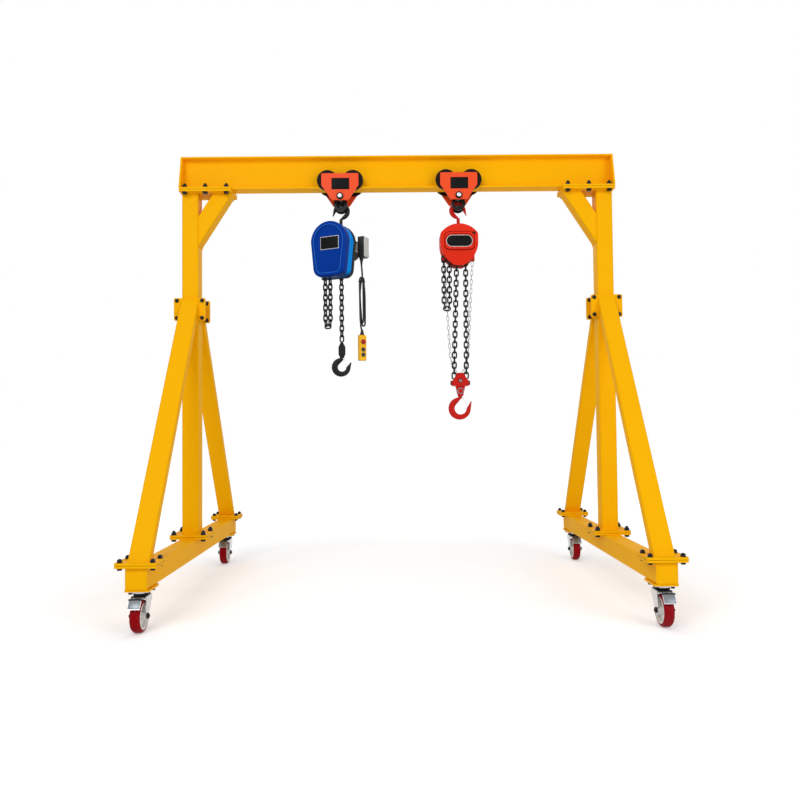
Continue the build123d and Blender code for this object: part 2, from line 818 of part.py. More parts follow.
def shield(inset):
    """The body outline, drawn in by inset: a low arch over straight sides that close to a narrow foot."""
    half = block_width / 2 - inset
    foot = block_foot_width / 2
    low = block_low + inset
    shoulder = hoist_top - block_shoulder
    waist = shoulder - block_side
    bulge = (half * block_foot_bulge, waist - (waist - low) * block_foot_share)
    outline = Wire([ThreePointArc((-half, shoulder), (0, hoist_top - inset), (half, shoulder)),
                    Line((half, shoulder), (half, waist)),
                    ThreePointArc((half, waist), bulge, (foot, low)),
                    Line((foot, low), (-foot, low)),
                    ThreePointArc((-foot, low), (-bulge[0], bulge[1]), (-half, waist)),
                    Line((-half, waist), (-half, shoulder))])
    face = make_face(outline)
    return fillet([v for v in face.vertices() if abs(v.Y - shoulder) < 1 or abs(v.Y - low) < 1], block_corner)


def block_front():
    """The front cover, with a label recess and a lower face that leans back below a crease."""
    back = -block_core_depth / 2
    front = back - block_cover_depth
    cover = across(shield(0), front, back)
    cover = fillet(cover.faces().sort_by(Axis.Y)[0].edges(), block_round)
    crease = hoist_top - block_crease_drop
    low = block_low - 1
    lean = (crease - low) * math.tan(math.radians(block_crease_angle))
    wedge = make_face(Polyline((front - 1, crease), (front, crease), (front + lean, low), (front - 1, low),
                               close=True))
    cover -= Plane((-block_width / 2, 0, 0), x_dir=(0, 1, 0), z_dir=(1, 0, 0)) * extrude(wedge, block_width)
    label = Pos(0, hoist_top - block_label_drop) * SlotOverall(block_label_width, block_label_height)
    return cover - across(label, front - 1, front + block_recess)


def block_core():
    """The dark frame between the covers, with the guides that the load chain runs through."""
    half = block_core_depth / 2
    core = across(shield(block_core_inset), -half, half)
    core += rod(hook_boss_radius, (0, 0, hoist_top - hook_boss_depth), (0, 0, hoist_top))
    for x in (fall_top_left, fall_top_right):
        core += box(x - chain_grip, x + chain_grip, -chain_grip, chain_grip, block_low - guide_depth,
                    block_low + guide_half * 2)
    mouth = slack_gap / 2 + chain_grip
    slack_low = block_low + block_core_inset
    x = block_slack_offset
    return core + box(x - mouth, x + mouth, -chain_grip, chain_grip, slack_low, slack_low + guide_half * 2)


def block_rear():
    """The hand-wheel cover, with a guide for each side of the hand chain."""
    half = block_core_depth / 2
    rear = across(shield(0), half, half + block_cover_depth)
    rear = fillet(rear.faces().sort_by(Axis.Y)[-1].edges(), block_round)
    grip = hand_guide_width / 2
    y = half + block_cover_depth / 2
    for side in LEFT_RIGHT:
        x = side * hand_wheel_radius
        top = hand_guide_low + 2 * hand_guide_width
        rear += box(x - grip, x + grip, y - grip, y + grip, hand_guide_low, top)
    return rear


def bottom_block(top):
    """Two cheeks that hold the chain ends, an axle across them and a clevis for the hook."""
    half = bottom_block_width / 2
    crown = bottom_block_top_width / 2
    shoulder = top - bottom_block_shoulder
    body_low = top - bottom_block_body
    low = top - bottom_block_height
    deep = bottom_block_depth / 2
    outline = Polyline((-crown, top), (crown, top), (half, shoulder), (half, body_low), (-half, body_low),
                       (-half, shoulder), close=True)
    block = across(make_face(outline), -deep, deep)
    slot = chain_grip + chain_slot
    for side in LEFT_RIGHT:
        x = side * fall_gap / 2
        block -= box(x - slot, x + slot, -slot, slot, top - chain_seat_drop, top + 1)
        axle_z = body_low + bottom_boss_rise
        boss_end = side * (half + bottom_boss_reach)
        block += rod(bottom_boss_radius, (side * half, 0, axle_z), (boss_end, 0, axle_z))
        window = (0, side * (deep - bottom_window_depth), shoulder)
        block -= rod(bottom_window_radius, window, (0, side * (deep + 1), shoulder))
    arm = clevis_width / 2
    foot = clevis_foot_width / 2
    clevis = make_face(Polyline((-arm, body_low), (-foot, low), (foot, low), (arm, body_low), close=True))
    block += across(clevis, -clevis_depth / 2, clevis_depth / 2)
    pin_z = (body_low + low) / 2
    pin = clevis_depth / 2 + clevis_pin_proud
    return block + rod(clevis_pin_radius, (0, -pin, pin_z), (0, pin, pin_z))


def hand_chain():
    """The endless hand chain below its wheel: it narrows slowly, then closes at the foot."""
    sizes = (hand_pitch, hand_wire, hand_inner_width)
    y = (block_core_depth + block_cover_depth) / 2
    z = hand_guide_low - hand_wire - 2 * chain_play

    def half_at(t, narrow):
        wide = hand_wheel_radius - (hand_wheel_radius - hand_foot) * t
        close = max(0, (t - 0.8) / 0.2)
        ease = close * close * (3 - 2 * close)
        return wide + (narrow - wide) * ease

    return hanging_loop(chain_link(*sizes), sizes, 0, y, z, hand_loop_drop, half_at)


def make_chain_block():
    link = chain_link(chain_pitch, chain_wire, chain_inner_width)
    place = Pos(right_trolley_x, 0, 0)
    reach = chain_wire + 2 * chain_play
    save("chain_block_cover", place * block_front())
    save("chain_block_body", place * block_core())
    save("chain_block_wheel_cover", place * block_rear())
    top_hook = Rot(0, 180, 0) * hook(top_hook_bowl, top_hook_back, top_hook_depth, top_hook_z - hoist_top, -1)
    save("chain_block_top_hook", place * Pos(0, 0, top_hook_z) * top_hook)
    start = block_low - guide_depth - reach
    foot = start - int(block_fall // chain_pitch) * chain_pitch
    links = []
    for side, top_x in zip(LEFT_RIGHT, (fall_top_left, fall_top_right)):
        end = (side * fall_gap / 2, 0, start - block_fall)
        links += chain(link, straight((top_x, 0, start), end, chain_pitch))
    slack_start = block_low + block_core_inset - reach
    links += slack_chain(link, block_slack_offset, 0, slack_start, slack_gap, block_slack)
    save("chain_block_load_chain", *[place * s for s in links])
    save("chain_block_hand_chain", *[place * s for s in hand_chain()])
    top = foot - reach + chain_seat_drop
    save("chain_block_bottom_block", place * bottom_block(top))
    low = top - bottom_block_height - fit
    low_hook = hook(block_hook_bowl, hook_back, hook_depth, block_hook_drop, 1)
    save("chain_block_hook", place * Pos(0, 0, low - block_hook_drop) * low_hook)


os.makedirs("parts", exist_ok=True)
make_frame()
make_casters()
make_trolleys()
make_electric_hoist()
make_chain_block()
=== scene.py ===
import bpy
import bmesh
import json
import math
import numpy as np
from mathutils import Matrix, Vector


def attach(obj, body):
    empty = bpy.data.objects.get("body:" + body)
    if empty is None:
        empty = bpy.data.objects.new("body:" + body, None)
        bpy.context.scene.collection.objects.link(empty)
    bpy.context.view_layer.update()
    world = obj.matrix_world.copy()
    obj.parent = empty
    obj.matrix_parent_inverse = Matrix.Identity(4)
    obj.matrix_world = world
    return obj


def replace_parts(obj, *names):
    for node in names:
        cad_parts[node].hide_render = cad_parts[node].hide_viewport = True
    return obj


# A portable gantry crane with two trolley hoists. Metres, +Z up, X along the beam.

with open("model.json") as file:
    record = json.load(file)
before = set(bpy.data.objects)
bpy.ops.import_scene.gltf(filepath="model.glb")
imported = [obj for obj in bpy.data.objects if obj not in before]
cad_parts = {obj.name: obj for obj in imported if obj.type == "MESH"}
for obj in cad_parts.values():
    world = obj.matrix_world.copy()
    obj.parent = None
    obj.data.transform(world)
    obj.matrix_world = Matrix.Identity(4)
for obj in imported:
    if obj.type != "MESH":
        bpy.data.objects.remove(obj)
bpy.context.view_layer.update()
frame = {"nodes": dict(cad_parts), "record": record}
nodes = frame["nodes"]
scene = bpy.context.scene
scene.view_settings.view_transform = "Standard"

# Sizes that repeat the solids
HALF_GAUGE = 1.2
POST_HALF = 0.0475
BEAM_HALF = 0.045
SEAT_TOP = 2.31
SEAT_LOW = 2.286
SEAT_INNER = 0.955
BEAM_END = 1.25
FOOT_TOP = 0.324
PAD_LOW = 0.3
BASE_HALF = 0.05
FOOT_SPACING = 0.895
CLAMP_Z = 1.61
CLAMP_FACE = 0.0595
BRACE_LEAN = math.radians(32.9)
BRACE_HALF_WIDTH = 0.05
BRACE_DEPTH = 0.05
KNEE_Z = 2.067
KNEE_ANGLE = math.radians(32.6)
LEFT_X = -0.331
RIGHT_X = 0.355
HOIST_TURN = math.radians(-24)
PENDANT_TURN = math.radians(48)
HOIST_TOP = 2.094
TOP_HOOK_Z = 2.1853
LEFT_RIGHT = (-1, 1)
FRONT_REAR = (-1, 1)

AT_LEFT = Matrix.Translation((LEFT_X, 0, 0)) @ Matrix.Rotation(HOIST_TURN, 4, "Z")
AT_RIGHT = Matrix.Translation((RIGHT_X, 0, 0))


# Camera, fitted to the photograph's frame

CAMERA_PLACE = (-0.02219, -4.40425, 0.93108)
CAMERA_YAW = 0.0059
CAMERA_PITCH = 0.0336
CAMERA_ROLL = -0.0099
CAMERA_LENS = 34.154
CAMERA_SENSOR = 36.0


def make_camera():
    level = Matrix.Rotation(-CAMERA_YAW, 4, "Z")
    turn = level @ Matrix.Rotation(math.pi / 2 + CAMERA_PITCH, 4, "X") @ Matrix.Rotation(CAMERA_ROLL, 4, "Z")
    data = bpy.data.cameras.new("camera")
    data.lens = CAMERA_LENS
    data.sensor_width = CAMERA_SENSOR
    camera = bpy.data.objects.new("camera", data)
    camera.matrix_world = Matrix.Translation(CAMERA_PLACE) @ turn
    scene.collection.objects.link(camera)
    scene.camera = camera


make_camera()


# Pendant cable: down from its gland, twice round a hank, then down to the pendant

CABLE_RADIUS = 0.005
CABLE_PLACE = AT_LEFT @ Matrix.Translation((0.101, 0.061, 0))
CABLE_EXIT = 1.901
HANK_TOP = 1.8
HANK_LOW = 1.516
HANK_FOLD = 0.0108
PENDANT_TOP = 1.461


def hank_turn(depth, next_depth, half, top, low, lean):
    """One turn of the hank: down its left side, round the fold, up its right side and over its top."""
    between = (depth + next_depth) / 2
    waist = (half + HANK_FOLD) / 2
    tight = HANK_FOLD * 0.45
    turn = []
    for side in LEFT_RIGHT:
        run = [(side * HANK_FOLD, top - 0.04), (side * half, top - 0.1),
               (lean / 2 + side * waist, low + 0.09), (lean + side * HANK_FOLD, low + 0.009),
               (lean + side * tight, low - 0.001)]
        turn += run if side < 0 else run[::-1]
    turn = [(x, depth, z) for x, z in turn]
    turn += [(HANK_FOLD, depth, top - 0.008), (tight, between, top + 0.001),
             (-tight, between, top + 0.001), (-HANK_FOLD, next_depth, top - 0.008)]
    return turn


def make_cable():
    """The whole cable as one curve through given points, with its hank in the middle."""
    points = [(0, 0, CABLE_EXIT), (0, 0, 1.868), (0, 0.006, 1.84), (-0.003, 0.0165, 1.808),
              (-0.0085, 0.0155, 1.785)]
    points += hank_turn(0.0085, -0.003, 0.0165, HANK_TOP, HANK_LOW, 0.006)
    points += hank_turn(-0.003, -0.0145, 0.0115, HANK_TOP - 0.004, HANK_LOW + 0.016, 0.001)[:-2]
    points += [(-0.002, -0.0118, HANK_TOP - 0.003), (-0.006, -0.0145, HANK_TOP - 0.013),
               (-0.006, -0.0145, 1.7), (-0.002, -0.0145, 1.54), (-0.001, -0.012, 1.505), (0, -0.002, 1.487),
               (0, 0, PENDANT_TOP)]
    data = bpy.data.curves.new("pendant_cable_run", "CURVE")
    data.dimensions = "3D"
    data.bevel_depth = 1.0
    data.bevel_resolution = 4
    data.use_fill_caps = True
    spline = data.splines.new("NURBS")
    spline.points.add(len(points) - 1)
    for control, point in zip(spline.points, points):
        control.co = (*(CABLE_PLACE @ Vector(point)), 1)
        control.radius = CABLE_RADIUS
    spline.order_u = 3
    spline.use_endpoint_u = True
    spline.resolution_u = 10
    cable = bpy.data.objects.new("pendant_cable_run", data)
    scene.collection.objects.link(cable)
    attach(cable, "electric_hoist")
    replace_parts(cable, "pendant_cable", "pendant_cable_hank")
    return cable


cable = make_cable()


# Shader groups, each built once

SOCKET_KINDS = {"Colour": "NodeSocketColor", "Normal": "NodeSocketVector"}


def new_group(name, inputs, outputs):
    """A shader group with its inputs' starting values by name, and its outputs by name."""
    group = bpy.data.node_groups.new(name, "ShaderNodeTree")

    def socket(label, way):
        kind = SOCKET_KINDS.get(label, "NodeSocketFloat")
        return group.interface.new_socket(label, in_out=way, socket_type=kind)

    for label, value in inputs.items():
        socket(label, "INPUT").default_value = value
    for label in outputs:
        socket(label, "OUTPUT")
    return group, group.nodes.new("NodeGroupInput"), group.nodes.new("NodeGroupOutput")


def feed(tree, socket, value):
    """Give a socket its value: another node's output, a colour or a number."""
    if isinstance(value, bpy.types.NodeSocket):
        tree.links.new(value, socket)
    else:
        socket.default_value = (*value, 1) if isinstance(value, tuple) else value


def math_node(tree, kind, first, second):
    node = tree.nodes.new("ShaderNodeMath")
    node.operation = kind
    feed(tree, node.inputs[0], first)
    feed(tree, node.inputs[1], second)
    return node.outputs[0]


def set_inputs(node, values):
    for label, value in values.items():
        node.inputs[label].default_value = value


def noise_node(tree, scale, detail):
    node = tree.nodes.new("ShaderNodeTexNoise")
    place = tree.nodes.new("ShaderNodeTexCoord").outputs["Object"]
    for label, value in (("Vector", place), ("Scale", scale), ("Detail", detail)):
        feed(tree, node.inputs[label], value)
    return node.outputs["Fac"]


def ramp(tree, value, low, high):
    node = tree.nodes.new("ShaderNodeMapRange")
    set_inputs(node, {"From Min": low, "From Max": high})
    tree.links.new(value, node.inputs["Value"])
    return node.outputs["Result"]


def height_of(tree, vector):
    """The Z part of a vector."""
    split = tree.nodes.new("ShaderNodeSeparateXYZ")
    tree.links.new(vector, split.inputs[0])
    return split.outputs["Z"]


def edge_wear_and_highlight_group():
    """Where an outer edge is rubbed, and where it is painted lighter as a highlight: a broken line along
    sharp corners.
    """
    group, start, end = new_group("edge_wear_and_highlight", {"Radius": 0.002, "Amount": 0.5}, ["Mask"])
    bevel = group.nodes.new("ShaderNodeBevel")
    bevel.samples = 6
    group.links.new(start.outputs["Radius"], bevel.inputs["Radius"])
    geometry = group.nodes.new("ShaderNodeNewGeometry")
    dot = group.nodes.new("ShaderNodeVectorMath")
    dot.operation = "DOT_PRODUCT"
    group.links.new(bevel.outputs[0], dot.inputs[0])
    group.links.new(geometry.outputs["Normal"], dot.inputs[1])
    bent = ramp(group, math_node(group, "SUBTRACT", 1.0, dot.outputs["Value"]), 0.03, 0.25)
    broken = ramp(group, noise_node(group, 26.0, 5.0), 0.42, 0.62)
    mask = math_node(group, "MULTIPLY", math_node(group, "MULTIPLY", bent, broken), start.outputs["Amount"])
    group.links.new(mask, end.inputs["Mask"])
    return group


def skin_group():
    """The fine unevenness of a sprayed or cast skin over softened edges, with a slow drift in tone."""
    inputs = {"Colour": (1, 1, 1, 1), "Grain": 300.0, "Depth": 0.1, "Drift": 0.06}
    group, start, end = new_group("skin", inputs, ["Colour", "Normal"])
    bevel = group.nodes.new("ShaderNodeBevel")
    bevel.samples = 6
    bevel.inputs["Radius"].default_value = 0.0016
    bump = group.nodes.new("ShaderNodeBump")
    bump.inputs["Distance"].default_value = 0.0006
    group.links.new(bevel.outputs[0], bump.inputs["Normal"])
    group.links.new(noise_node(group, start.outputs["Grain"], 2.0), bump.inputs["Height"])
    group.links.new(start.outputs["Depth"], bump.inputs["Strength"])
    group.links.new(bump.outputs[0], end.inputs["Normal"])
    slow = math_node(group, "SUBTRACT", noise_node(group, 2.3, 4.0), 0.5)
    gain = math_node(group, "ADD", 1.0, math_node(group, "MULTIPLY", slow, start.outputs["Drift"]))
    tone = group.nodes.new("ShaderNodeHueSaturation")
    group.links.new(start.outputs["Colour"], tone.inputs["Color"])
    group.links.new(gain, tone.inputs["Value"])
    group.links.new(tone.outputs[0], end.inputs["Colour"])
    return group


def dust_group():
    """Grey dust that settles on faces turned upwards and gathers near the floor."""
    group, start, end = new_group("dust", {"Amount": 0.2}, ["Mask"])
    normal = group.nodes.new("ShaderNodeNewGeometry").outputs["Normal"]
    up = ramp(group, height_of(group, normal), 0.5, 1.0)
    place = group.nodes.new("ShaderNodeTexCoord").outputs["Object"]
    low = ramp(group, height_of(group, place), 0.35, 0.0)
    patch = ramp(group, noise_node(group, 14.0, 5.0), 0.4, 0.75)
    both = math_node(group, "ADD", up, math_node(group, "MULTIPLY", low, 0.5))
    mask = math_node(group, "MULTIPLY", math_node(group, "MULTIPLY", both, patch), start.outputs["Amount"])
    group.links.new(math_node(group, "MINIMUM", mask, 1.0), end.inputs["Mask"])
    return group


def painted_underside_shade_group():
    """Painted shade where a face is turned down: a mask that grows as the face turns further down."""
    group, start, end = new_group("underside", {"Amount": 1.0}, ["Mask"])
    normal = group.nodes.new("ShaderNodeNewGeometry").outputs["Normal"]
    down = ramp(group, height_of(group, normal), -0.35, -0.85)
    group.links.new(math_node(group, "MULTIPLY", down, start.outputs["Amount"]), end.inputs["Mask"])
    return group


EDGE = edge_wear_and_highlight_group()
SKIN = skin_group()
DUST = dust_group()
PAINTED_UNDERSIDE_SHADE = painted_underside_shade_group()


def use_group(tree, group, **values):
    node = tree.nodes.new("ShaderNodeGroup")
    node.node_tree = group
    set_inputs(node, values)
    return node


def mix(tree, mask, first, second):
    """One colour to another by a mask."""
    node = tree.nodes.new("ShaderNodeMix")
    node.data_type = "RGBA"
    factor, first_colour, second_colour = node.inputs["Factor"], node.inputs[6], node.inputs[7]
    for socket, value in ((factor, mask), (first_colour, first), (second_colour, second)):
        feed(tree, socket, value)
    return node.outputs[2]


# Materials, kept by name

MATERIALS = {}
DUST_COLOUR = (0.42, 0.38, 0.32)
# How strongly faces turned down take the painted shade.
PAINTED_SHADE_SHARE = 0.9


def material(name, colour, rough, metallic=0.0, specular=0.5, grain=300.0, depth=0.1, drift=0.06, wear_and_highlight=None,
             wear_and_highlight_amount=0.0, dust=0.0, under=None):
    """A look of its own colour over the shared skin, with edges rubbed or painted lighter as a highlight,
    dust, or painted shade on faces turned down.
    """
    made = bpy.data.materials.new(name)
    made.use_nodes = True
    tree = made.node_tree
    shader = tree.nodes["Principled BSDF"]
    set_inputs(shader, {"Roughness": rough, "Metallic": metallic, "Specular IOR Level": specular})
    skin = use_group(tree, SKIN, Colour=(*colour, 1), Grain=grain, Depth=depth, Drift=drift)
    tree.links.new(skin.outputs["Normal"], shader.inputs["Normal"])
    result = skin.outputs["Colour"]
    if wear_and_highlight:
        edge = use_group(tree, EDGE, Amount=wear_and_highlight_amount)
        result = mix(tree, edge.outputs["Mask"], result, wear_and_highlight)
    if dust:
        grey = use_group(tree, DUST, Amount=dust)
        result = mix(tree, grey.outputs["Mask"], result, DUST_COLOUR)
    # Painted shade: faces turned down take the darker under colour.
    if under:
        painted_shade_node = use_group(tree, PAINTED_UNDERSIDE_SHADE, Amount=PAINTED_SHADE_SHARE)
        result = mix(tree, painted_shade_node.outputs["Mask"], result, under)
    tree.links.new(result, shader.inputs["Base Color"])
    MATERIALS[name] = made


# Paint on the frame and trolleys
material("yellow_paint", (0.97, 0.47, 0.0008), 0.5, specular=0.035, grain=420.0,
         wear_and_highlight=(0.99, 0.62, 0.03), wear_and_highlight_amount=0.3)
material("joint_line", (0.16, 0.055, 0.002), 0.8, specular=0.05, depth=0.05)
# Its paler edges are partly worn paint and partly a painted highlight.
material("orange_paint", (0.88, 0.075, 0.012), 0.42, specular=0.2, dust=0.03,
         wear_and_highlight=(0.95, 0.42, 0.25), wear_and_highlight_amount=0.8)

# Hoist cases
# Their under colours are painted shade on faces turned down; their lighter edges are partly wear and partly
# painted highlight.
material("blue_housing", (0.001, 0.038, 0.3), 0.42, specular=0.04, depth=0.05,
         wear_and_highlight=(0.06, 0.28, 0.7), wear_and_highlight_amount=0.5, under=(0.0005, 0.012, 0.09))
# Painted highlight: a lighter blue for the housing's sides, where the light catches them.
material("blue_painted_highlight", (0.004, 0.29, 0.93), 0.5, specular=0.02, depth=0.05, under=(0.0005, 0.01, 0.07))
# Painted highlight: a lighter blue for the bead round the cover.
material("blue_rim_painted_highlight", (0.02, 0.15, 0.6), 0.35, specular=0.1, depth=0.05)
material("red_housing", (0.8, 0.032, 0.013), 0.48, specular=0.025, depth=0.05,
         wear_and_highlight=(0.8, 0.1, 0.05), wear_and_highlight_amount=0.3, under=(0.2, 0.006, 0.002))
# Painted shade: a darker red for the lines round the label's surround.
material("red_painted_shade", (0.3, 0.008, 0.003), 0.5, specular=0.05, depth=0.05)
material("dark_housing", (0.016, 0.016, 0.018), 0.5, specular=0.12, grain=500.0, depth=0.15,
         wear_and_highlight=(0.08, 0.08, 0.08), wear_and_highlight_amount=0.3)

# Steel
material("red_forging", (0.56, 0.012, 0.008), 0.38, specular=0.1, grain=160.0, depth=0.2,
         wear_and_highlight=(0.5, 0.45, 0.42), wear_and_highlight_amount=0.5)
material("black_steel", (0.006, 0.006, 0.0065), 0.38, specular=0.18, grain=240.0, depth=0.15,
         wear_and_highlight=(0.12, 0.12, 0.12), wear_and_highlight_amount=0.3)
material("wheel_black", (0.006, 0.004, 0.003), 0.55, specular=0.1, grain=240.0)
material("zinc_steel", (0.62, 0.63, 0.65), 0.28, metallic=1.0, depth=0.08, drift=0.2)
material("silver_chain", (0.27, 0.27, 0.28), 0.34, metallic=0.9, depth=0.05, drift=0.15)
material("flap_grey", (0.2, 0.22, 0.24), 0.35, metallic=0.6, depth=0.05)
material("white_hub", (0.78, 0.77, 0.73), 0.45, dust=0.3)

# Rubber and plastic
material("red_tread", (0.28, 0.0004, 0.004), 0.45, specular=0.06, depth=0.06, dust=0.08)
material("cable_rubber", (0.006, 0.006, 0.006), 0.5, specular=0.3, grain=700.0)
material("control_box", (0.012, 0.012, 0.013), 0.5, grain=900.0, depth=0.2)
material("pendant_shell", (0.95, 0.5, 0.01), 0.5, specular=0.2, grain=900.0, depth=0.12)
material("pale_plastic", (0.6, 0.6, 0.58), 0.45, grain=900.0)
material("bare_label", (0.004, 0.004, 0.0045), 0.5, specular=0.08, depth=0.02)
material("button_red", (0.45, 0.008, 0.005), 0.35, specular=0.2, depth=0.02)

SLOT_OF = {row["node"]: row["material_slot"] for row in frame["record"]["subparts"]}
for name, node in nodes.items():
    node.data.materials.clear()
    node.data.materials.append(MATERIALS[SLOT_OF[name]])
    if "trolley_wheels" in name:
        node.data.materials[0] = MATERIALS["wheel_black"]
# The housing takes the lighter blue, a painted highlight on its sides.
nodes["electric_hoist_housing"].data.materials[0] = MATERIALS["blue_painted_highlight"]
cable.data.materials.append(MATERIALS["cable_rubber"])


# Floor, backdrop and light

def shown_rays(tree):
    """1 for rays that show the background to the camera, also in a reflection or through glass."""
    path = tree.nodes.new("ShaderNodeLightPath")
    seen = math_node(tree, "MAXIMUM", path.outputs["Is Camera Ray"], path.outputs["Is Glossy Ray"])
    return math_node(tree, "MAXIMUM", seen, path.outputs["Is Transmission Ray"])


def distance_glow(tree):
    """The floor's own glow: faint round the object, where its shadow shows, and stronger beyond the lamps."""
    place = tree.nodes.new("ShaderNodeTexCoord").outputs["Object"]
    length = tree.nodes.new("ShaderNodeVectorMath")
    length.operation = "LENGTH"
    tree.links.new(place, length.inputs[0])
    spread = tree.nodes.new("ShaderNodeMapRange")
    tree.links.new(length.outputs["Value"], spread.inputs["Value"])
    set_inputs(spread, {"From Min": 1.6, "From Max": 4.5, "To Min": 0.27, "To Max": 0.63})
    return spread.outputs["Result"]


FLOOR_HALF = 40.0
FLOOR_COLOUR = (0.95, 0.95, 0.95)
AMBIENT = (0.4, 0.405, 0.41)
WHITE = (1, 1, 1)


def make_studio():
    bm = bmesh.new()
    bmesh.ops.create_grid(bm, x_segments=1, y_segments=1, size=FLOOR_HALF)
    mesh = bpy.data.meshes.new("floor")
    bm.to_mesh(mesh)
    bm.free()
    floor = bpy.data.objects.new("floor", mesh)
    scene.collection.objects.link(floor)
    pale = bpy.data.materials.new("pale_floor")
    pale.use_nodes = True
    tree = pale.node_tree
    shader = tree.nodes["Principled BSDF"]
    set_inputs(shader, {"Base Color": (*FLOOR_COLOUR, 1), "Roughness": 0.9, "Specular IOR Level": 0.0,
                        "Emission Color": (*WHITE, 1)})
    glow = math_node(tree, "MULTIPLY", shown_rays(tree), distance_glow(tree))
    tree.links.new(glow, shader.inputs["Emission Strength"])
    mesh.materials.append(pale)
    world = bpy.data.worlds.new("studio")
    scene.world = world
    world.use_nodes = True
    tree = world.node_tree
    shade = mix(tree, shown_rays(tree), AMBIENT, WHITE)
    tree.links.new(shade, tree.nodes["Background"].inputs["Color"])


def area_light(name, place, target, size, power):
    data = bpy.data.lights.new(name, "AREA")
    data.shape = "RECTANGLE"
    data.size, data.size_y = size
    data.energy = power
    lamp = bpy.data.objects.new(name, data)
    way = Vector(target) - Vector(place)
    lamp.matrix_world = Matrix.Translation(place) @ way.to_track_quat("-Z", "Y").to_matrix().to_4x4()
    scene.collection.objects.link(lamp)


MIDDLE = (0, 0, 1.2)

make_studio()
area_light("key", (-2.2, -5.2, 4.2), MIDDLE, size=(3.0, 2.2), power=122)
area_light("fill", (3.6, -4.6, 2.6), MIDDLE, size=(3.0, 2.4), power=75)
area_light("top", (0, 0.5, 5.6), (0, 0, 0), size=(5.0, 4.0), power=60)
area_light("back", (0, 5.0, 3.4), MIDDLE, size=(4.0, 2.4), power=30)


# Making pieces

def piece(name, bm, look, body, sharp=40):
    """Finish a mesh as a piece that rides on a body."""
    bmesh.ops.recalc_face_normals(bm, faces=bm.faces)
    mesh = bpy.data.meshes.new(name)
    bm.to_mesh(mesh)
    bm.free()
    mesh.polygons.foreach_set("use_smooth", [True] * len(mesh.polygons))
    mesh.set_sharp_from_angle(angle=math.radians(sharp))
    made = bpy.data.objects.new(name, mesh)
    scene.collection.objects.link(made)
    mesh.materials.append(MATERIALS[look])
    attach(made, body)
    return made


def add(bm, other, *places):
    """Copy a mesh into another at each place, then free it."""
    mesh = bpy.data.meshes.new("copy")
    other.to_mesh(mesh)
    other.free()
    for place in places:
        before = len(bm.verts)
        bm.from_mesh(mesh)
        bm.verts.ensure_lookup_table()
        bmesh.ops.transform(bm, matrix=place, verts=bm.verts[before:])
    bpy.data.meshes.remove(mesh)


def joined(*parts):
    """Several meshes in one, each with its place."""
    bm = bmesh.new()
    for other, place in parts:
        add(bm, other, place)
    return bm


def copies(other, places):
    """One mesh repeated at each place."""
    bm = bmesh.new()
    add(bm, other, *places)
    return bm


def placed(bm, place):
    """A mesh moved to its place."""
    bmesh.ops.transform(bm, matrix=place, verts=bm.verts)
    return bm


def at(x, y, z):
    return Matrix.Translation((x, y, z))


def facing(direction):
    return Vector(direction).to_track_quat("Z", "Y").to_matrix().to_4x4()


TO_FRONT = facing((0, -1, 0))
TO_REAR = facing((0, 1, 0))
DOWN = facing((0, 0, -1))


def prism(sides, radius, depth, chamfer):
    """A closed prism standing on Z = 0 with its upper rim rounded."""
    bm = bmesh.new()
    bmesh.ops.create_cone(bm, cap_ends=True, segments=sides, radius1=radius, radius2=radius, depth=depth,
                          matrix=at(0, 0, depth / 2))
    rim = [e for e in bm.edges if all(v.co.z > depth / 2 for v in e.verts)]
    bmesh.ops.bevel(bm, geom=rim, offset=chamfer, segments=2, profile=0.5, affect="EDGES", material=-1)
    return bm


def slab(size, rounding, segments=2):
    """A box with rounded edges about its own middle."""
    bm = bmesh.new()
    bmesh.ops.create_cube(bm, size=1.0, matrix=Matrix.Diagonal((*size, 1)))
    bmesh.ops.bevel(bm, geom=bm.edges[:], offset=rounding, segments=segments, profile=0.5, affect="EDGES",
                    material=-1)
    return bm


def lathe(profile, sides=32):
    """A body turned about Z, from a half section of points given as out and up."""
    bm = bmesh.new()
    corners = [bm.verts.new((out, 0, z)) for out, z in profile]
    for first, second in zip(corners, corners[1:]):
        bm.edges.new((first, second))
    bmesh.ops.spin(bm, geom=bm.verts[:] + bm.edges[:], axis=(0, 0, 1), cent=(0, 0, 0), angle=2 * math.pi,
                   steps=sides, use_merge=True)
    bmesh.ops.remove_doubles(bm, verts=bm.verts, dist=0.000001)
    return bm


def ring(inner, outer, depth, sides=32):
    """A flat washer that stands on Z = 0."""
    return lathe([(inner, 0), (outer, 0), (outer, depth), (inner, depth), (inner, 0)], sides)


def ring_sweep(places, sides, closed):
    """A bar through a row of unit circles, each with its own place and size."""
    bm = bmesh.new()
    loops = []
    for place in places:
        made = bmesh.ops.create_circle(bm, cap_ends=False, radius=1.0, segments=sides, matrix=place)
        loops.append({e for v in made["verts"] for e in v.link_edges})
    pairs = list(zip(loops, loops[1:]))
    if closed:
        pairs.append((loops[-1], loops[0]))
    for first, second in pairs:
        bmesh.ops.bridge_loops(bm, edges=list(first | second))
    if not closed:
        for loop in (loops[0], loops[-1]):
            bmesh.ops.edgenet_fill(bm, edges=list(loop))
    return bm


def across(spot, way, side):
    """A place at a spot with Z along the way and X kept square to a side direction."""
    z = way.normalized()
    x = Vector(side).cross(z).normalized()
    return Matrix.Translation(spot) @ Matrix((x, z.cross(x), z)).transposed().to_4x4()


def bar(points, radius, side=(0, 1, 0), sides=10):
    """A round bar along a row of points."""
    spots = [Vector(p) for p in points]
    places = []
    for index, spot in enumerate(spots):
        way = spots[min(index + 1, len(spots) - 1)] - spots[max(index - 1, 0)]
        places.append(across(spot, way, side) @ Matrix.Scale(radius, 4))
    return ring_sweep(places, sides, False)


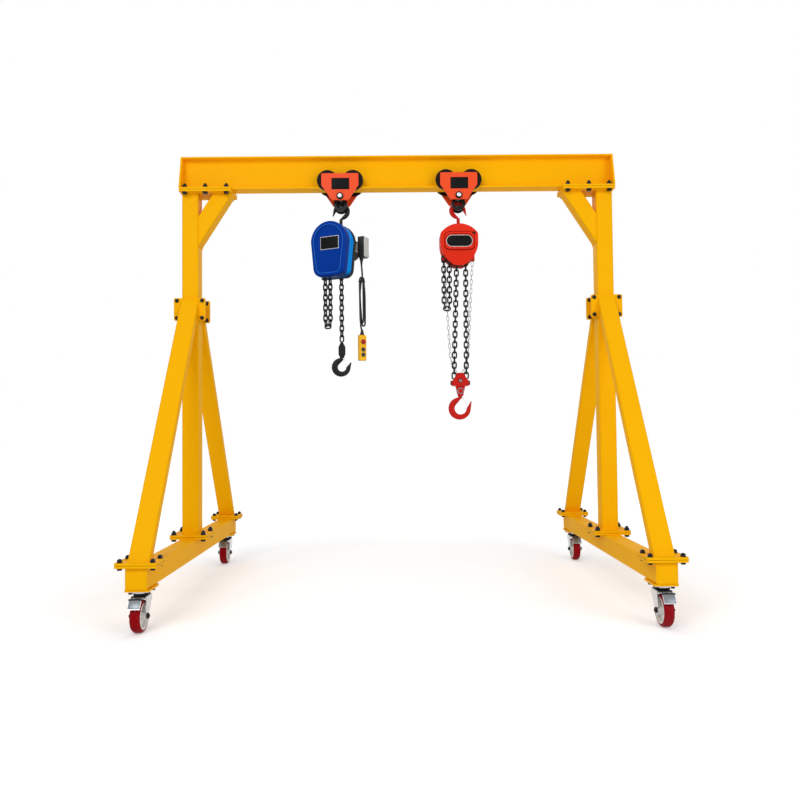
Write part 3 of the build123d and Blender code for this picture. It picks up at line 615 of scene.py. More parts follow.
def arc(x, z, radius, start, end, steps):
    """Points on an arc in the X and Z plane, from one angle to another in degrees."""
    angles = [math.radians(start + (end - start) * step / steps) for step in range(steps + 1)]
    return [(x + radius * math.cos(a), z + radius * math.sin(a)) for a in angles]


def extruded(outline, start, depth):
    """A plate with its outline in the X and Z plane, drawn along Y from a start, and its far corners."""
    bm = bmesh.new()
    face = bm.faces.new([bm.verts.new((x, start, z)) for x, z in outline])
    grown = bmesh.ops.extrude_face_region(bm, geom=[face])["geom"]
    far = [g for g in grown if isinstance(g, bmesh.types.BMVert)]
    bmesh.ops.translate(bm, vec=(0, depth, 0), verts=far)
    return bm, far


def stadium(width, height, depth, rounding=0.0006):
    """A plate with round ends, its back on Y = 0 and its rounded face towards -Y."""
    radius = height / 2
    reach = width / 2 - radius
    outline = arc(reach, 0, radius, -90, 90, 14) + arc(-reach, 0, radius, 90, 270, 14)
    bm, front = extruded(outline, 0, -depth)
    rim = [e for e in bm.edges if all(v in front for v in e.verts)]
    bmesh.ops.bevel(bm, geom=rim, offset=rounding, segments=2, profile=0.5, affect="EDGES", material=-1)
    return bm


WASHER = 0.0022


def bolt_head(across_flats, height):
    """A washer and a hexagon head, which is also a nut."""
    return joined((prism(28, across_flats * 0.64, WASHER, 0.0006), at(0, 0, 0)),
                  (prism(6, across_flats * 0.577, height, 0.0012), at(0, 0, WASHER)))


def nut(across_flats, height, bolt, tail):
    """A washer, a hexagon nut and the end of its bolt."""
    return joined((bolt_head(across_flats, height), at(0, 0, 0)),
                  (prism(18, bolt, height + tail, 0.0012), at(0, 0, WASHER)))


def socket_screw(radius, height):
    """A round screw head with a socket sunk in it."""
    depth = height * 0.5
    bore = radius * 0.5
    return lathe([(0, 0), (radius, 0), (radius, height * 0.85), (radius * 0.88, height), (bore, height),
                  (bore, height - depth), (0, height - depth)], 20)


# Frame: bolts and welds

BRACE_BOLT_X = 0.075
BRACE_BOLT_Y = 0.053
POST_BOLT_X = 0.083
POST_BOLT_Y = 0.082
CLAMP_BOLT_X = 0.072
CLAMP_BOLT_Z = 0.05
SEAT_BOLT_REACH = (1.2236, 1.106, 0.985)
SEAT_BOLT_Y = 0.072


def frame_bolts():
    """Bolts up through the foot and seat plates, and bolts that draw each clamp's plates together."""
    brace_feet, posts_and_seats, clamps = [], [], []
    for side in LEFT_RIGHT:
        x = side * HALF_GAUGE
        for dx in LEFT_RIGHT:
            for dy in FRONT_REAR:
                for end in FRONT_REAR:
                    y = end * FOOT_SPACING + dy * BRACE_BOLT_Y
                    brace_feet.append((x + dx * BRACE_BOLT_X, y, FOOT_TOP, PAD_LOW))
                posts_and_seats.append((x + dx * POST_BOLT_X, dy * POST_BOLT_Y, FOOT_TOP, PAD_LOW))
            for dz in LEFT_RIGHT:
                clamps.append(at(x + dx * CLAMP_BOLT_X, 0, CLAMP_Z + dz * CLAMP_BOLT_Z))
        for reach in SEAT_BOLT_REACH:
            for dy in FRONT_REAR:
                posts_and_seats.append((side * reach, dy * SEAT_BOLT_Y, SEAT_TOP, SEAT_LOW))
    bm = bmesh.new()
    small = nut(across_flats=0.02, height=0.012, bolt=0.006, tail=0.003), bolt_head(0.02, 0.0085)
    large = nut(across_flats=0.024, height=0.0135, bolt=0.008, tail=0.009), bolt_head(0.024, 0.01)
    for spots, (upper, lower) in ((brace_feet, small), (posts_and_seats, large)):
        add(bm, upper, *[at(x, y, high) for x, y, high, low in spots])
        add(bm, lower, *[at(x, y, low) @ DOWN for x, y, high, low in spots])
    faces = (-CLAMP_FACE, POST_HALF)
    add(bm, bolt_head(0.018, 0.0075), *[place @ at(0, y, 0) @ TO_FRONT for place in clamps for y in faces])
    end = nut(across_flats=0.018, height=0.0095, bolt=0.005, tail=0.003)
    add(bm, end, *[place @ at(0, CLAMP_FACE, 0) @ TO_REAR for place in clamps])
    rod = prism(18, 0.005, 2 * POST_HALF, 0.0002)
    add(bm, rod, *[place @ at(0, POST_HALF, 0) @ TO_FRONT for place in clamps])
    piece("frame_bolts", bm, "black_steel", "frame", sharp=30)


WELD_RADIUS = 0.0035
WELD_RIPPLE = 0.007
WELD_DIP = 0.8
PAD_WELD_HALF = 0.07


def weld(bm, start, end):
    """A bead from one point to another, rippled as it was laid."""
    first, last = Vector(start), Vector(end)
    way = last - first
    steps = 2 * max(2, round(way.length / WELD_RIPPLE))
    side = (0, 0, 1) if abs(way.normalized().z) < 0.9 else (0, 1, 0)
    places = []
    for step in range(steps + 1):
        size = WELD_RADIUS * (1.0 if step % 2 else WELD_DIP)
        places.append(across(first + way * step / steps, way, side) @ Matrix.Scale(size, 4))
    add(bm, ring_sweep(places, 6, False), Matrix())


def weld_round(bm, middle, first, second):
    """Four beads round a tube's end: its middle, and the two half sides as vectors."""
    middle, first, second = Vector(middle), Vector(first), Vector(second)
    for sign in LEFT_RIGHT:
        weld(bm, middle + sign * first - second, middle + sign * first + second)
        weld(bm, middle + sign * second - first, middle + sign * second + first)


def frame_welds():
    bm = bmesh.new()
    brace_foot = BRACE_DEPTH / 2 / math.cos(BRACE_LEAN)
    brace_head = BRACE_DEPTH / 2 / math.sin(BRACE_LEAN)
    brace_head_z = FOOT_TOP + (FOOT_SPACING - CLAMP_FACE) / math.tan(BRACE_LEAN)
    knee_on_post = POST_HALF / math.sin(KNEE_ANGLE)
    knee_on_head = POST_HALF / math.cos(KNEE_ANGLE)
    knee_reach = (SEAT_LOW - KNEE_Z) * math.tan(KNEE_ANGLE)
    for side in LEFT_RIGHT:
        x = side * HALF_GAUGE
        for z in (FOOT_TOP, SEAT_LOW):
            weld_round(bm, (x, 0, z), (POST_HALF, 0, 0), (0, POST_HALF, 0))
        inner = side * (HALF_GAUGE - POST_HALF)
        weld_round(bm, (inner, 0, KNEE_Z), (0, POST_HALF, 0), (0, 0, knee_on_post))
        weld_round(bm, (inner - side * knee_reach, 0, SEAT_LOW), (knee_on_head, 0, 0), (0, POST_HALF, 0))
        for end in FRONT_REAR:
            wide = (BRACE_HALF_WIDTH, 0, 0)
            weld_round(bm, (x, end * FOOT_SPACING, FOOT_TOP), wide, (0, brace_foot, 0))
            weld_round(bm, (x, end * CLAMP_FACE, brace_head_z), wide, (0, 0, brace_head))
            y = end * BEAM_HALF
            weld(bm, (side * SEAT_INNER, y, SEAT_TOP), (side * BEAM_END, y, SEAT_TOP))
            for dx in LEFT_RIGHT:
                edge = x + dx * BASE_HALF
                y = end * FOOT_SPACING
                weld(bm, (edge, y - PAD_WELD_HALF, PAD_LOW), (edge, y + PAD_WELD_HALF, PAD_LOW))
    piece("frame_welds", bm, "yellow_paint", "frame", sharp=60)


BRACE_PLATE = (0.19, 0.146)
POST_PLATE = (0.206, 0.2)
SEAT_OUTER = BEAM_END + 0.005
SEAT_DEPTH = 0.18
PLATE_CORNER = 0.006
JOINT_PROUD = 0.0008
JOINT_HEIGHT = 0.0016


def plate_joints():
    """The dark line where two bolted plates meet."""
    bm = bmesh.new()

    def sheet(x, y, z, width, depth):
        thin = slab((width + JOINT_PROUD, depth + JOINT_PROUD, JOINT_HEIGHT), 0.0003, 1)
        add(bm, thin, at(x, y, z))

    foot_z = (FOOT_TOP + PAD_LOW) / 2
    seat_z = (SEAT_TOP + SEAT_LOW) / 2
    for side in LEFT_RIGHT:
        x = side * HALF_GAUGE
        for y, plate in ((-FOOT_SPACING, BRACE_PLATE), (0, POST_PLATE), (FOOT_SPACING, BRACE_PLATE)):
            width, depth = plate
            sheet(x, y, foot_z, width, depth - 2 * PLATE_CORNER)
            sheet(x, y, foot_z, width - 2 * PLATE_CORNER, depth)
        seat_width = SEAT_OUTER - SEAT_INNER - 2 * PLATE_CORNER
        sheet(side * (SEAT_INNER + SEAT_OUTER) / 2, 0, seat_z, seat_width, SEAT_DEPTH)
    piece("plate_joints", bm, "joint_line", "frame")


frame_bolts()
frame_welds()
plate_joints()


# Casters

CASTER_Y = 0.87
CASTER_TRAIL = 0.035
WHEEL_RADIUS = 0.075
FORK_OUTER = 0.036
HUB_FACE = 0.0317
HEAD_LOW = 0.184
PEDAL_PIN = (-0.0503, 0.1617)
PEDAL_KNEE = (-0.0893, 0.1597)
PEDAL_END = (-0.1163, 0.1201)


PEDAL_PAD = (0.052, 0.0035, 0.04)
PAD_BOLT_X = 0.037
PAD_BOLT_Y = 0.045


def cross_bar(spot, half, radius, sides):
    """A bar along X through a spot given as Y and Z."""
    return bar([(-half, *spot), (half, *spot)], radius, sides=sides)


def dress_caster(name, x, y):
    """Bolts under the pad, race seal, axle nuts, hub faces, pedal hinge and pedal flap."""
    centre = at(x, y, 0)
    axle = centre @ at(0, -CASTER_TRAIL, WHEEL_RADIUS)
    corners = [(dx * PAD_BOLT_X, dy * PAD_BOLT_Y) for dx in LEFT_RIGHT for dy in FRONT_REAR]
    heads = [centre @ at(dx, dy, HEAD_LOW) @ DOWN for dx, dy in corners]
    bolts = copies(bolt_head(across_flats=0.017, height=0.007), heads)
    piece(f"{name}_pad_bolts", bolts, "black_steel", "frame", sharp=30)

    race = lathe([(0.0325, 0.1642), (0.0375, 0.1648), (0.0392, 0.1685), (0.0375, 0.1725), (0.0325, 0.1732),
                  (0.0325, 0.1642)], 40)
    piece(f"{name}_race_seal", placed(race, centre), "black_steel", f"{name}_fork")

    ends = [axle @ at(side * FORK_OUTER, 0, 0) @ facing((side, 0, 0)) for side in LEFT_RIGHT]
    nuts = copies(prism(6, radius=0.0138, depth=0.0078, chamfer=0.0012), ends)
    add(nuts, prism(18, radius=0.006, depth=0.012, chamfer=0.001), *ends)
    piece(f"{name}_axle_nuts", nuts, "black_steel", f"{name}_fork", sharp=30)

    dish = lathe([(0.02, 0.006), (0.05, 0.006), (0.05, 0.0085), (0.046, 0.0105), (0.024, 0.0105),
                  (0.02, 0.0085), (0.02, 0.006)], 40)
    boss = ring(inner=0.0085, outer=0.0185, depth=0.0004)
    hub = joined((boss, at(0, 0, HUB_FACE - 0.0003)), (dish, at(0, 0, 0)))
    hubs = copies(hub, [axle @ facing((side, 0, 0)) for side in LEFT_RIGHT])
    piece(f"{name}_hub_faces", hubs, "white_hub", f"{name}_wheel")

    hinge = cross_bar(PEDAL_PIN, half=0.031, radius=0.0056, sides=16)
    lip = cross_bar((PEDAL_KNEE[0] - 0.002, PEDAL_KNEE[1]), half=0.03, radius=0.0042, sides=14)
    piece(f"{name}_pedal_hinge", joined((hinge, centre), (lip, centre)), "black_steel", f"{name}_pedal")

    knee, end = Vector((0, *PEDAL_KNEE)), Vector((0, *PEDAL_END))
    along = end - knee
    out = Vector((1, 0, 0)).cross(along).normalized()
    flap = placed(slab(PEDAL_PAD, 0.0012), centre @ across((knee + end) / 2 - out * 0.003, along, out))
    piece(f"{name}_pedal_pad", flap, "flap_grey", f"{name}_pedal")


for end_name, end in (("front", -1), ("rear", 1)):
    for side_name, side in (("left", -1), ("right", 1)):
        dress_caster(f"{end_name}_{side_name}_caster", side * HALF_GAUGE, end * CASTER_Y)


# Trolleys

PLATE_FACE = 0.072
LOAD_PIN_Z = 2.256
PIN_END = 0.084


TROLLEY_LABEL = (0.102, 0.0016, 0.066)
TROLLEY_LABEL_X = 0.003
TROLLEY_LABEL_Z = 2.328


def dress_trolley(name, x):
    """A bare label plate, and the ends and nuts of the load pin."""
    centre = at(x, 0, 0)
    label = placed(slab(TROLLEY_LABEL, 0.0005),
                   centre @ at(TROLLEY_LABEL_X, -PLATE_FACE - 0.0005, TROLLEY_LABEL_Z))
    piece(f"{name}_label", label, "bare_label", name)
    pin_end = prism(28, radius=0.0115, depth=0.0016, chamfer=0.0006)
    collar = lathe([(0.0095, 0), (0.0197, 0), (0.0197, 0.0075), (0.018, 0.0095), (0.0095, 0.0095),
                    (0.0095, 0)])
    for part, made, look, y in (("pin_ends", pin_end, "zinc_steel", PIN_END - 0.0002),
                                ("pin_nuts", collar, "black_steel", PLATE_FACE)):
        places = [centre @ at(0, end * y, LOAD_PIN_Z) @ facing((0, end, 0)) for end in FRONT_REAR]
        piece(f"{name}_{part}", copies(made, places), look, name)


dress_trolley("left_trolley", LEFT_X)
dress_trolley("right_trolley", RIGHT_X)


# Hooks, each forged with its bowl about its own origin

SHANK_SHARE = 0.36
TIP_LAG = math.radians(14)
TIP_STEPS = 5
BOWL_SWEEP = math.radians(225)
BOWL_STEPS = 16
NECK_ANGLE = math.radians(135)
NECK_STEPS = 3
FLAT_DEPTH = 0.9


def hook_sections(bowl, back, drop):
    """Inner and outer points from tip to shank, each pair with its share of the hook's depth."""
    outer = bowl + back * 0.85
    offset = back - (outer - bowl)
    shank = back * SHANK_SHARE
    tip = Vector((bowl + back * 0.76, bowl * 1.25))
    tip_out = tip + Vector((back * 0.08, -back * 0.16))

    def inside(angle):
        return Vector((bowl * math.cos(angle), bowl * math.sin(angle)))

    def outside(angle):
        reach = math.sqrt(outer ** 2 - (offset * math.sin(angle)) ** 2) - offset * math.cos(angle)
        return Vector((reach * math.cos(angle), reach * math.sin(angle)))

    sections = []
    for step in range(TIP_STEPS):
        t = 1 - step / TIP_STEPS
        share = FLAT_DEPTH - 0.45 * t
        sections.append((inside(0).lerp(tip, t), outside(-TIP_LAG).lerp(tip_out, t), share))
    for step in range(BOWL_STEPS + 1):
        t = step / BOWL_STEPS
        angle = -BOWL_SWEEP * t
        share = FLAT_DEPTH + 0.1 * math.sin(math.pi * t)
        sections.append((inside(angle), outside(angle - TIP_LAG * (1 - t)), share))
    neck, nape = inside(NECK_ANGLE), outside(NECK_ANGLE)
    throat = Vector((shank, bowl * 1.95))
    start = math.degrees(math.atan2(nape.y, nape.x + offset))
    crown = math.degrees(math.acos((offset - shank) / outer))
    rim = arc(-offset, 0, outer, start, crown, NECK_STEPS)
    for step in range(1, NECK_STEPS + 1):
        sections.append((neck.lerp(throat, step / NECK_STEPS), Vector(rim[step]), FLAT_DEPTH))
    sections.append((Vector((shank, drop)), Vector((-shank, drop)), FLAT_DEPTH))
    return sections


LATCH_SHEET = 0.0016
LATCH_EAR = (0.008, LATCH_SHEET, 0.01)


def dress_hook(node, body, look, place, bowl, back, depth, drop):
    """A forged hook, and a sheet latch that runs from two ears on its neck to its tip."""
    places = []
    for inner, outer, share in hook_sections(bowl, back, drop):
        middle = (inner + outer) / 2
        half = (outer - inner) / 2
        x = Vector((half.x, 0, half.y))
        y = Vector((0, depth / 2 * share, 0))
        section = Matrix((x, y, x.cross(y).normalized())).transposed().to_4x4()
        places.append(at(middle.x, 0, middle.y) @ section)
    made = piece(f"{node}_forging", placed(ring_sweep(places, 20, False), place), look, body, sharp=60)
    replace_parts(made, node)
    start = Vector((back * SHANK_SHARE * 1.02, 0, bowl * 1.86))
    end = Vector((bowl * 0.98, 0, bowl * 0.32))
    bend = start.lerp(end, 0.6) + Vector((0.0035, 0, 0))
    strip = bmesh.new()
    for first, second in ((start, bend), (bend, end)):
        way = second - first
        part = slab((LATCH_SHEET, depth * 0.64, way.length + 0.0008), 0.0006)
        add(strip, part, across((first + second) / 2, way, (0, 1, 0)))
    cheek = depth / 2 * 0.92
    for side in FRONT_REAR:
        add(strip, slab(LATCH_EAR, 0.0006), at(start.x - 0.002, side * (cheek + 0.001), start.z))
        spot = at(start.x - 0.003, side * (cheek + LATCH_SHEET), start.z)
        rivet = prism(14, radius=0.0024, depth=0.0022, chamfer=0.0008)
        add(strip, rivet, spot @ facing((0, side, 0)))
    piece(f"{node}_latch", placed(strip, place), "zinc_steel", body, sharp=30)


FLIP = Matrix.Rotation(math.pi, 4, "Y")
MIRROR = Matrix.Rotation(math.pi, 4, "Z")
TOP_HOOK = {"bowl": 0.026, "back": 0.027, "depth": 0.02, "drop": TOP_HOOK_Z - HOIST_TOP}
ELECTRIC_HOOK_Z = 1.2725
BLOCK_HOOK_Z = 1.0265

dress_hook("electric_hoist_top_hook", "electric_hoist", "black_steel",
           at(LEFT_X, 0, TOP_HOOK_Z) @ FLIP, **TOP_HOOK)
dress_hook("chain_block_top_hook", "chain_block", "red_forging",
           at(RIGHT_X, 0, TOP_HOOK_Z) @ FLIP @ MIRROR, **TOP_HOOK)
dress_hook("electric_hoist_hook", "electric_hoist_lower_hook", "black_steel",
           at(LEFT_X, 0, ELECTRIC_HOOK_Z), bowl=0.0245, back=0.036, depth=0.024, drop=0.062)
dress_hook("chain_block_hook", "chain_block_lower_hook", "red_forging",
           at(RIGHT_X, 0, BLOCK_HOOK_Z), bowl=0.0345, back=0.036, depth=0.024, drop=0.072)


# Electric hoist

COVER_FACE = -0.16
COVER_RECESS = 0.005
HOIST_RADIUS = 0.115
HOIST_LOW = 1.778
MOTOR_Z = 1.979
MOTOR_RADIUS = 0.06
MOTOR_START = 0.033
MOTOR_END = 0.151
FIN_COUNT = 28
END_RING_WIDTH = 0.004
BAND_BACK = -0.031
CASE_LOW = HOIST_LOW + 0.004
CASE_SLOPE = (0, 0.55, -0.835)
ELECTRIC_LABEL_X = 0.008
ELECTRIC_LABEL_Z = 1.968
BOX_Y = 0.072
BOX_Z = 1.978
LID_X = 0.1285
LID_FACE = 0.132
SCREW_Y = 0.021
SCREW_Z = 0.051
ARM_X = 0.0695
SAME_POINT = 0.00001


def hoist_rim(inset):
    """Points round the cover's outline, drawn in by inset, from one lower corner over the top."""
    radius = HOIST_RADIUS - inset
    centre = HOIST_TOP - HOIST_RADIUS
    foot = 0.095 - inset
    corner = 0.052 - inset
    low = HOIST_LOW + inset
    right = [(foot - corner, low)] + arc(foot - corner, low + corner, corner, -80, -14, 6)
    left = [(-x, z) for x, z in reversed(right)]
    return right + arc(0, centre, radius, 0, 180, 24) + left


def electric_cover():
    """A bead round the cover's front, painted a lighter blue as a highlight, and a bare label on its border.
    """
    body = "electric_hoist"
    rim = [(x, COVER_FACE + 0.001, z) for x, z in hoist_rim(0.02)]
    bead = placed(bar(rim + rim[:1], 0.0022), AT_LEFT)
    piece("electric_cover_rim", bead, "blue_rim_painted_highlight", body)
    face = COVER_FACE + COVER_RECESS
    for name, width, height, proud, look, slot in (
            ("electric_label_border", 0.118, 0.074, 0.0005, "pale_plastic", "zinc_steel"),
            ("electric_label", 0.112, 0.068, 0.0012, "bare_label", "black_steel")):
        place = AT_LEFT @ at(ELECTRIC_LABEL_X, face - proud, ELECTRIC_LABEL_Z)
        piece(name, placed(slab((width, 0.0016, height), 0.0005), place), look, body)


def electric_motor():
    """The motor's case with its lower rear edge sloped, and the fins and end rings of its drum."""
    body = "electric_hoist"
    bm = bmesh.new()
    bm.from_mesh(nodes["electric_hoist_motor"].data)
    bmesh.ops.remove_doubles(bm, verts=bm.verts, dist=SAME_POINT)
    foot = AT_LEFT @ Vector((0, BAND_BACK, CASE_LOW))
    for way in (Vector((0, 0, -1)), AT_LEFT.to_3x3() @ Vector(CASE_SLOPE)):
        cut = bmesh.ops.bisect_plane(bm, geom=bm.verts[:] + bm.edges[:] + bm.faces[:], plane_co=foot,
                                     plane_no=way, clear_outer=True)["geom_cut"]
        bmesh.ops.edgenet_fill(bm, edges=[g for g in cut if isinstance(g, bmesh.types.BMEdge)])
    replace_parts(piece("electric_motor_case", bm, "dark_housing", body), "electric_hoist_motor")
    fin = slab((0.0018, MOTOR_END - MOTOR_START - 0.03, 0.008), 0.0006)
    middle = AT_LEFT @ at(0, (MOTOR_START + MOTOR_END) / 2, MOTOR_Z)
    turns = [Matrix.Rotation(math.tau * step / FIN_COUNT, 4, "Y") for step in range(FIN_COUNT)]
    bm = copies(fin, [middle @ turn @ at(0, 0, MOTOR_RADIUS + 0.002) for turn in turns])
    end = AT_LEFT @ at(0, MOTOR_END - 0.0003, MOTOR_Z) @ TO_REAR
    for radius in (0.014, 0.026, 0.038):
        add(bm, ring(radius, radius + END_RING_WIDTH, 0.0015, 36), end)
    piece("electric_motor_fins", bm, "dark_housing", body)


def electric_box():
    """The control box's lid with its screws, and the arm between box and motor."""
    body = "electric_hoist"
    lid = slab((0.007, 0.055, 0.116), 0.0025)
    arm = slab((0.032, 0.047, 0.047), 0.003)
    bm = joined((lid, AT_LEFT @ at(LID_X, BOX_Y, BOX_Z)), (arm, AT_LEFT @ at(ARM_X, BOX_Y, MOTOR_Z)))
    piece("electric_box_lid", bm, "pale_plastic", body)
    corners = [(BOX_Y + dy * SCREW_Y, BOX_Z + dz * SCREW_Z) for dy in FRONT_REAR for dz in LEFT_RIGHT]
    places = [AT_LEFT @ at(LID_FACE, y, z) @ facing((1, 0, 0)) for y, z in corners]
    screws = copies(socket_screw(radius=0.0035, height=0.0028), places)
    piece("electric_box_screws", screws, "zinc_steel", body)


TIE_Z = 1.776
TIE_HALF_WIDTH = 0.0188
TIE_HALF_DEPTH = 0.0222
TIE_STEPS = 28


def dress_cable():
    """The gland, the tie round the hank and the boot on the pendant."""
    gland = lathe([(0, 1.9215), (0.0126, 1.9215), (0.0126, 1.912), (0.0114, 1.9105), (0.0112, 1.903),
                   (0.0082, 1.8985), (0.0056, 1.872), (0, 1.872)], 24)
    gland = piece("pendant_cable_gland", placed(gland, CABLE_PLACE), "cable_rubber", "electric_hoist")
    angles = [math.tau * step / TIE_STEPS for step in range(TIE_STEPS + 1)]
    band = [(TIE_HALF_WIDTH * math.cos(a), 0.0005 + TIE_HALF_DEPTH * math.sin(a), TIE_Z) for a in angles]
    tie = placed(bar(band, 0.0021, (0, 0, 1), 8), CABLE_PLACE)
    tie = piece("pendant_cable_tie", tie, "cable_rubber", "electric_hoist")
    boot = lathe([(0, 1.459), (0.0145, 1.459), (0.0145, 1.464), (0.0118, 1.4665), (0.0066, 1.49),
                  (0.0056, 1.494), (0, 1.494)], 24)
    boot = piece("pendant_cable_boot", placed(boot, CABLE_PLACE), "cable_rubber", "electric_hoist")


PENDANT_FACE = -0.018
SEAM_Y = 0.006
STOP_Z = 1.42
BUTTONS_Z = (1.375, 1.345)


def dress_pendant():
    """A red stop button, two black buttons, their collars, and the seam between the shell's halves."""
    place = CABLE_PLACE @ Matrix.Rotation(PENDANT_TURN, 4, "Z")
    body = "electric_hoist"

    def on_face(z):
        return place @ at(0, PENDANT_FACE, z) @ TO_FRONT

    def collar(radius):
        return lathe([(0, 0), (radius, 0), (radius, 0.0015), (radius - 0.002, 0.003), (0, 0.003)], 28)

    stop = lathe([(0, 0), (0.0075, 0), (0.0075, 0.004), (0.0125, 0.006), (0.0128, 0.0095), (0.0105, 0.0125),
                  (0.005, 0.014), (0, 0.0143)], 28)
    piece("pendant_stop_button", placed(stop, on_face(STOP_Z)), "button_red", body)
    knob = lathe([(0, 0), (0.0085, 0), (0.0085, 0.006), (0.0072, 0.0075), (0, 0.008)], 28)
    bm = bmesh.new()
    add(bm, collar(0.014), on_face(STOP_Z))
    for made in (collar(0.0125), knob):
        add(bm, made, *[on_face(z) for z in BUTTONS_Z])
    add(bm, slab((0.0446, 0.0014, 0.1506), 0.0004), place @ at(0, SEAM_Y, PENDANT_TOP - 0.075))
    piece("pendant_buttons", bm, "control_box", body)


electric_cover()
electric_motor()
electric_box()
dress_cable()
dress_pendant()


# Chain block

BLOCK_FACE = -0.074
BLOCK_RECESS = 0.004
FRONT_BOLT = (0.084, 2.036)
REAR_BOLTS = ((-0.084, 2.036), (0.084, 2.036), (0, 1.885))
LABEL_Z = 1.991
CORE_HALF_DEPTH = 0.022
BOSS_HEIGHT = 0.03


def three_point_arc(first, middle, last, steps):
    """Points on the circle through three points, from the first to the last."""
    a, b, c = Vector(first), Vector(middle), Vector(last)
    turn = 2 * (a.x * (b.y - c.y) + b.x * (c.y - a.y) + c.x * (a.y - b.y))
    x = (a.dot(a) * (b.y - c.y) + b.dot(b) * (c.y - a.y) + c.dot(c) * (a.y - b.y)) / turn
    z = (a.dot(a) * (c.x - b.x) + b.dot(b) * (a.x - c.x) + c.dot(c) * (b.x - a.x)) / turn
    start = math.degrees(math.atan2(a.y - z, a.x - x))
    end = math.degrees(math.atan2(c.y - z, c.x - x))
    return arc(x, z, (a - Vector((x, z))).length, start, end, steps)


def block_core():
    """The dark frame between the two red covers, with the boss for the top hook."""
    half, foot, low = 0.101, 0.022, 1.864
    shoulder, waist = 2.037, 1.983
    bulge = (half * 0.78, waist - (waist - low) * 0.59)
    top = three_point_arc((half, shoulder), (0, HOIST_TOP - 0.008), (-half, shoulder), 16)
    right = three_point_arc((foot, low), bulge, (half, waist), 12)
    outline = top + [(-x, z) for x, z in reversed(right)] + right
    bm = extruded(outline, -CORE_HALF_DEPTH, 2 * CORE_HALF_DEPTH)[0]
    add(bm, prism(28, 0.018, BOSS_HEIGHT, 0.002), at(0, 0, HOIST_TOP - BOSS_HEIGHT))
    made = piece("chain_block_core", placed(bm, AT_RIGHT), "dark_housing", "chain_block")
    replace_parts(made, "chain_block_body")


SURROUND_HALF_WIDTH = 0.0865
SURROUND_HALF_HEIGHT = 0.053
SURROUND_RISE = 0.005
SURROUND_SINK = 0.0005
SURROUND_CHAMFER = 0.005
HOLE_STRAIGHT = 0.042
HOLE_END = 0.0395
HOLE_CHAMFER = 0.0015


def surround_reach(way):
    """How far the surround's outline, a rectangle with round corners, lies from its middle in a direction."""
    return ((abs(way.x) / SURROUND_HALF_WIDTH) ** 5 + (abs(way.z) / SURROUND_HALF_HEIGHT) ** 5) ** -0.2


def hole_reach(way):
    """How far the edge of the label's hole, which has round ends, lies from its middle in a direction."""
    if abs(way.x) * HOLE_END < HOLE_STRAIGHT * abs(way.z):
        return HOLE_END / abs(way.z)
    return HOLE_STRAIGHT * abs(way.x) + math.sqrt(HOLE_END ** 2 - (HOLE_STRAIGHT * way.z) ** 2)


def surround_line(first, last, steps):
    """Points along the surround's outline from one angle to another, in degrees."""
    points = []
    for step in range(steps + 1):
        angle = math.radians(first + (last - first) * step / steps)
        way = Vector((math.cos(angle), 0, math.sin(angle)))
        points.append(tuple(way * surround_reach(way)))
    return points


def label_surround():
    """A raised plate round the label's oval hole: a ring drawn out to both outlines, its face towards -Y."""
    inner, outer, depth = 1, 2, 1
    bm = placed(ring(inner, outer, depth, 72), TO_FRONT)
    for corner in bm.verts:
        way = Vector((corner.co.x, 0, corner.co.z))
        raised = corner.co.y < -depth / 2
        if way.length > (inner + outer) / 2:
            reach = surround_reach(way.normalized()) - (SURROUND_CHAMFER if raised else 0)
        else:
            reach = hole_reach(way.normalized()) + (HOLE_CHAMFER if raised else 0)
        corner.co = way.normalized() * reach + Vector((0, -SURROUND_RISE if raised else SURROUND_SINK, 0))
    return bm


def block_label():
    """A bare label on its border, with a raised surround and painted shade round its foot and under its lower
    edge.
    """
    body = "chain_block"
    floor = AT_RIGHT @ at(0, BLOCK_FACE + BLOCK_RECESS + 0.0003, LABEL_Z)
    border = placed(stadium(width=0.154, height=0.07, depth=0.0016), floor)
    piece("block_label_border", border, "pale_plastic", body)
    label = placed(stadium(width=0.146, height=0.062, depth=0.0022), floor)
    piece("block_label", label, "bare_label", body)
    surround = placed(label_surround(), AT_RIGHT @ at(0, BLOCK_FACE, LABEL_Z))
    piece("block_label_surround", surround, "red_housing", body)
    # Painted shade: a thin dark line round the surround's foot and a thicker one under its lower edge.
    edge = AT_RIGHT @ at(0, BLOCK_FACE - 0.0005, LABEL_Z)
    outline = bar(surround_line(0, 360, 72), 0.0021)
    brow = bar(surround_line(200, 340, 32), 0.0036)
    piece("block_label_brow", joined((outline, edge), (brow, edge)), "red_painted_shade", body)


BOTTOM_TOP = 1.2328
SHEAVE_PIN_Z = BOTTOM_TOP - 0.046
AXLE_Z = BOTTOM_TOP - 0.058
HOOK_WASHER_Z = BOTTOM_TOP - 0.105
CHEEK_FACE = 0.019
AXLE_END = 0.0508


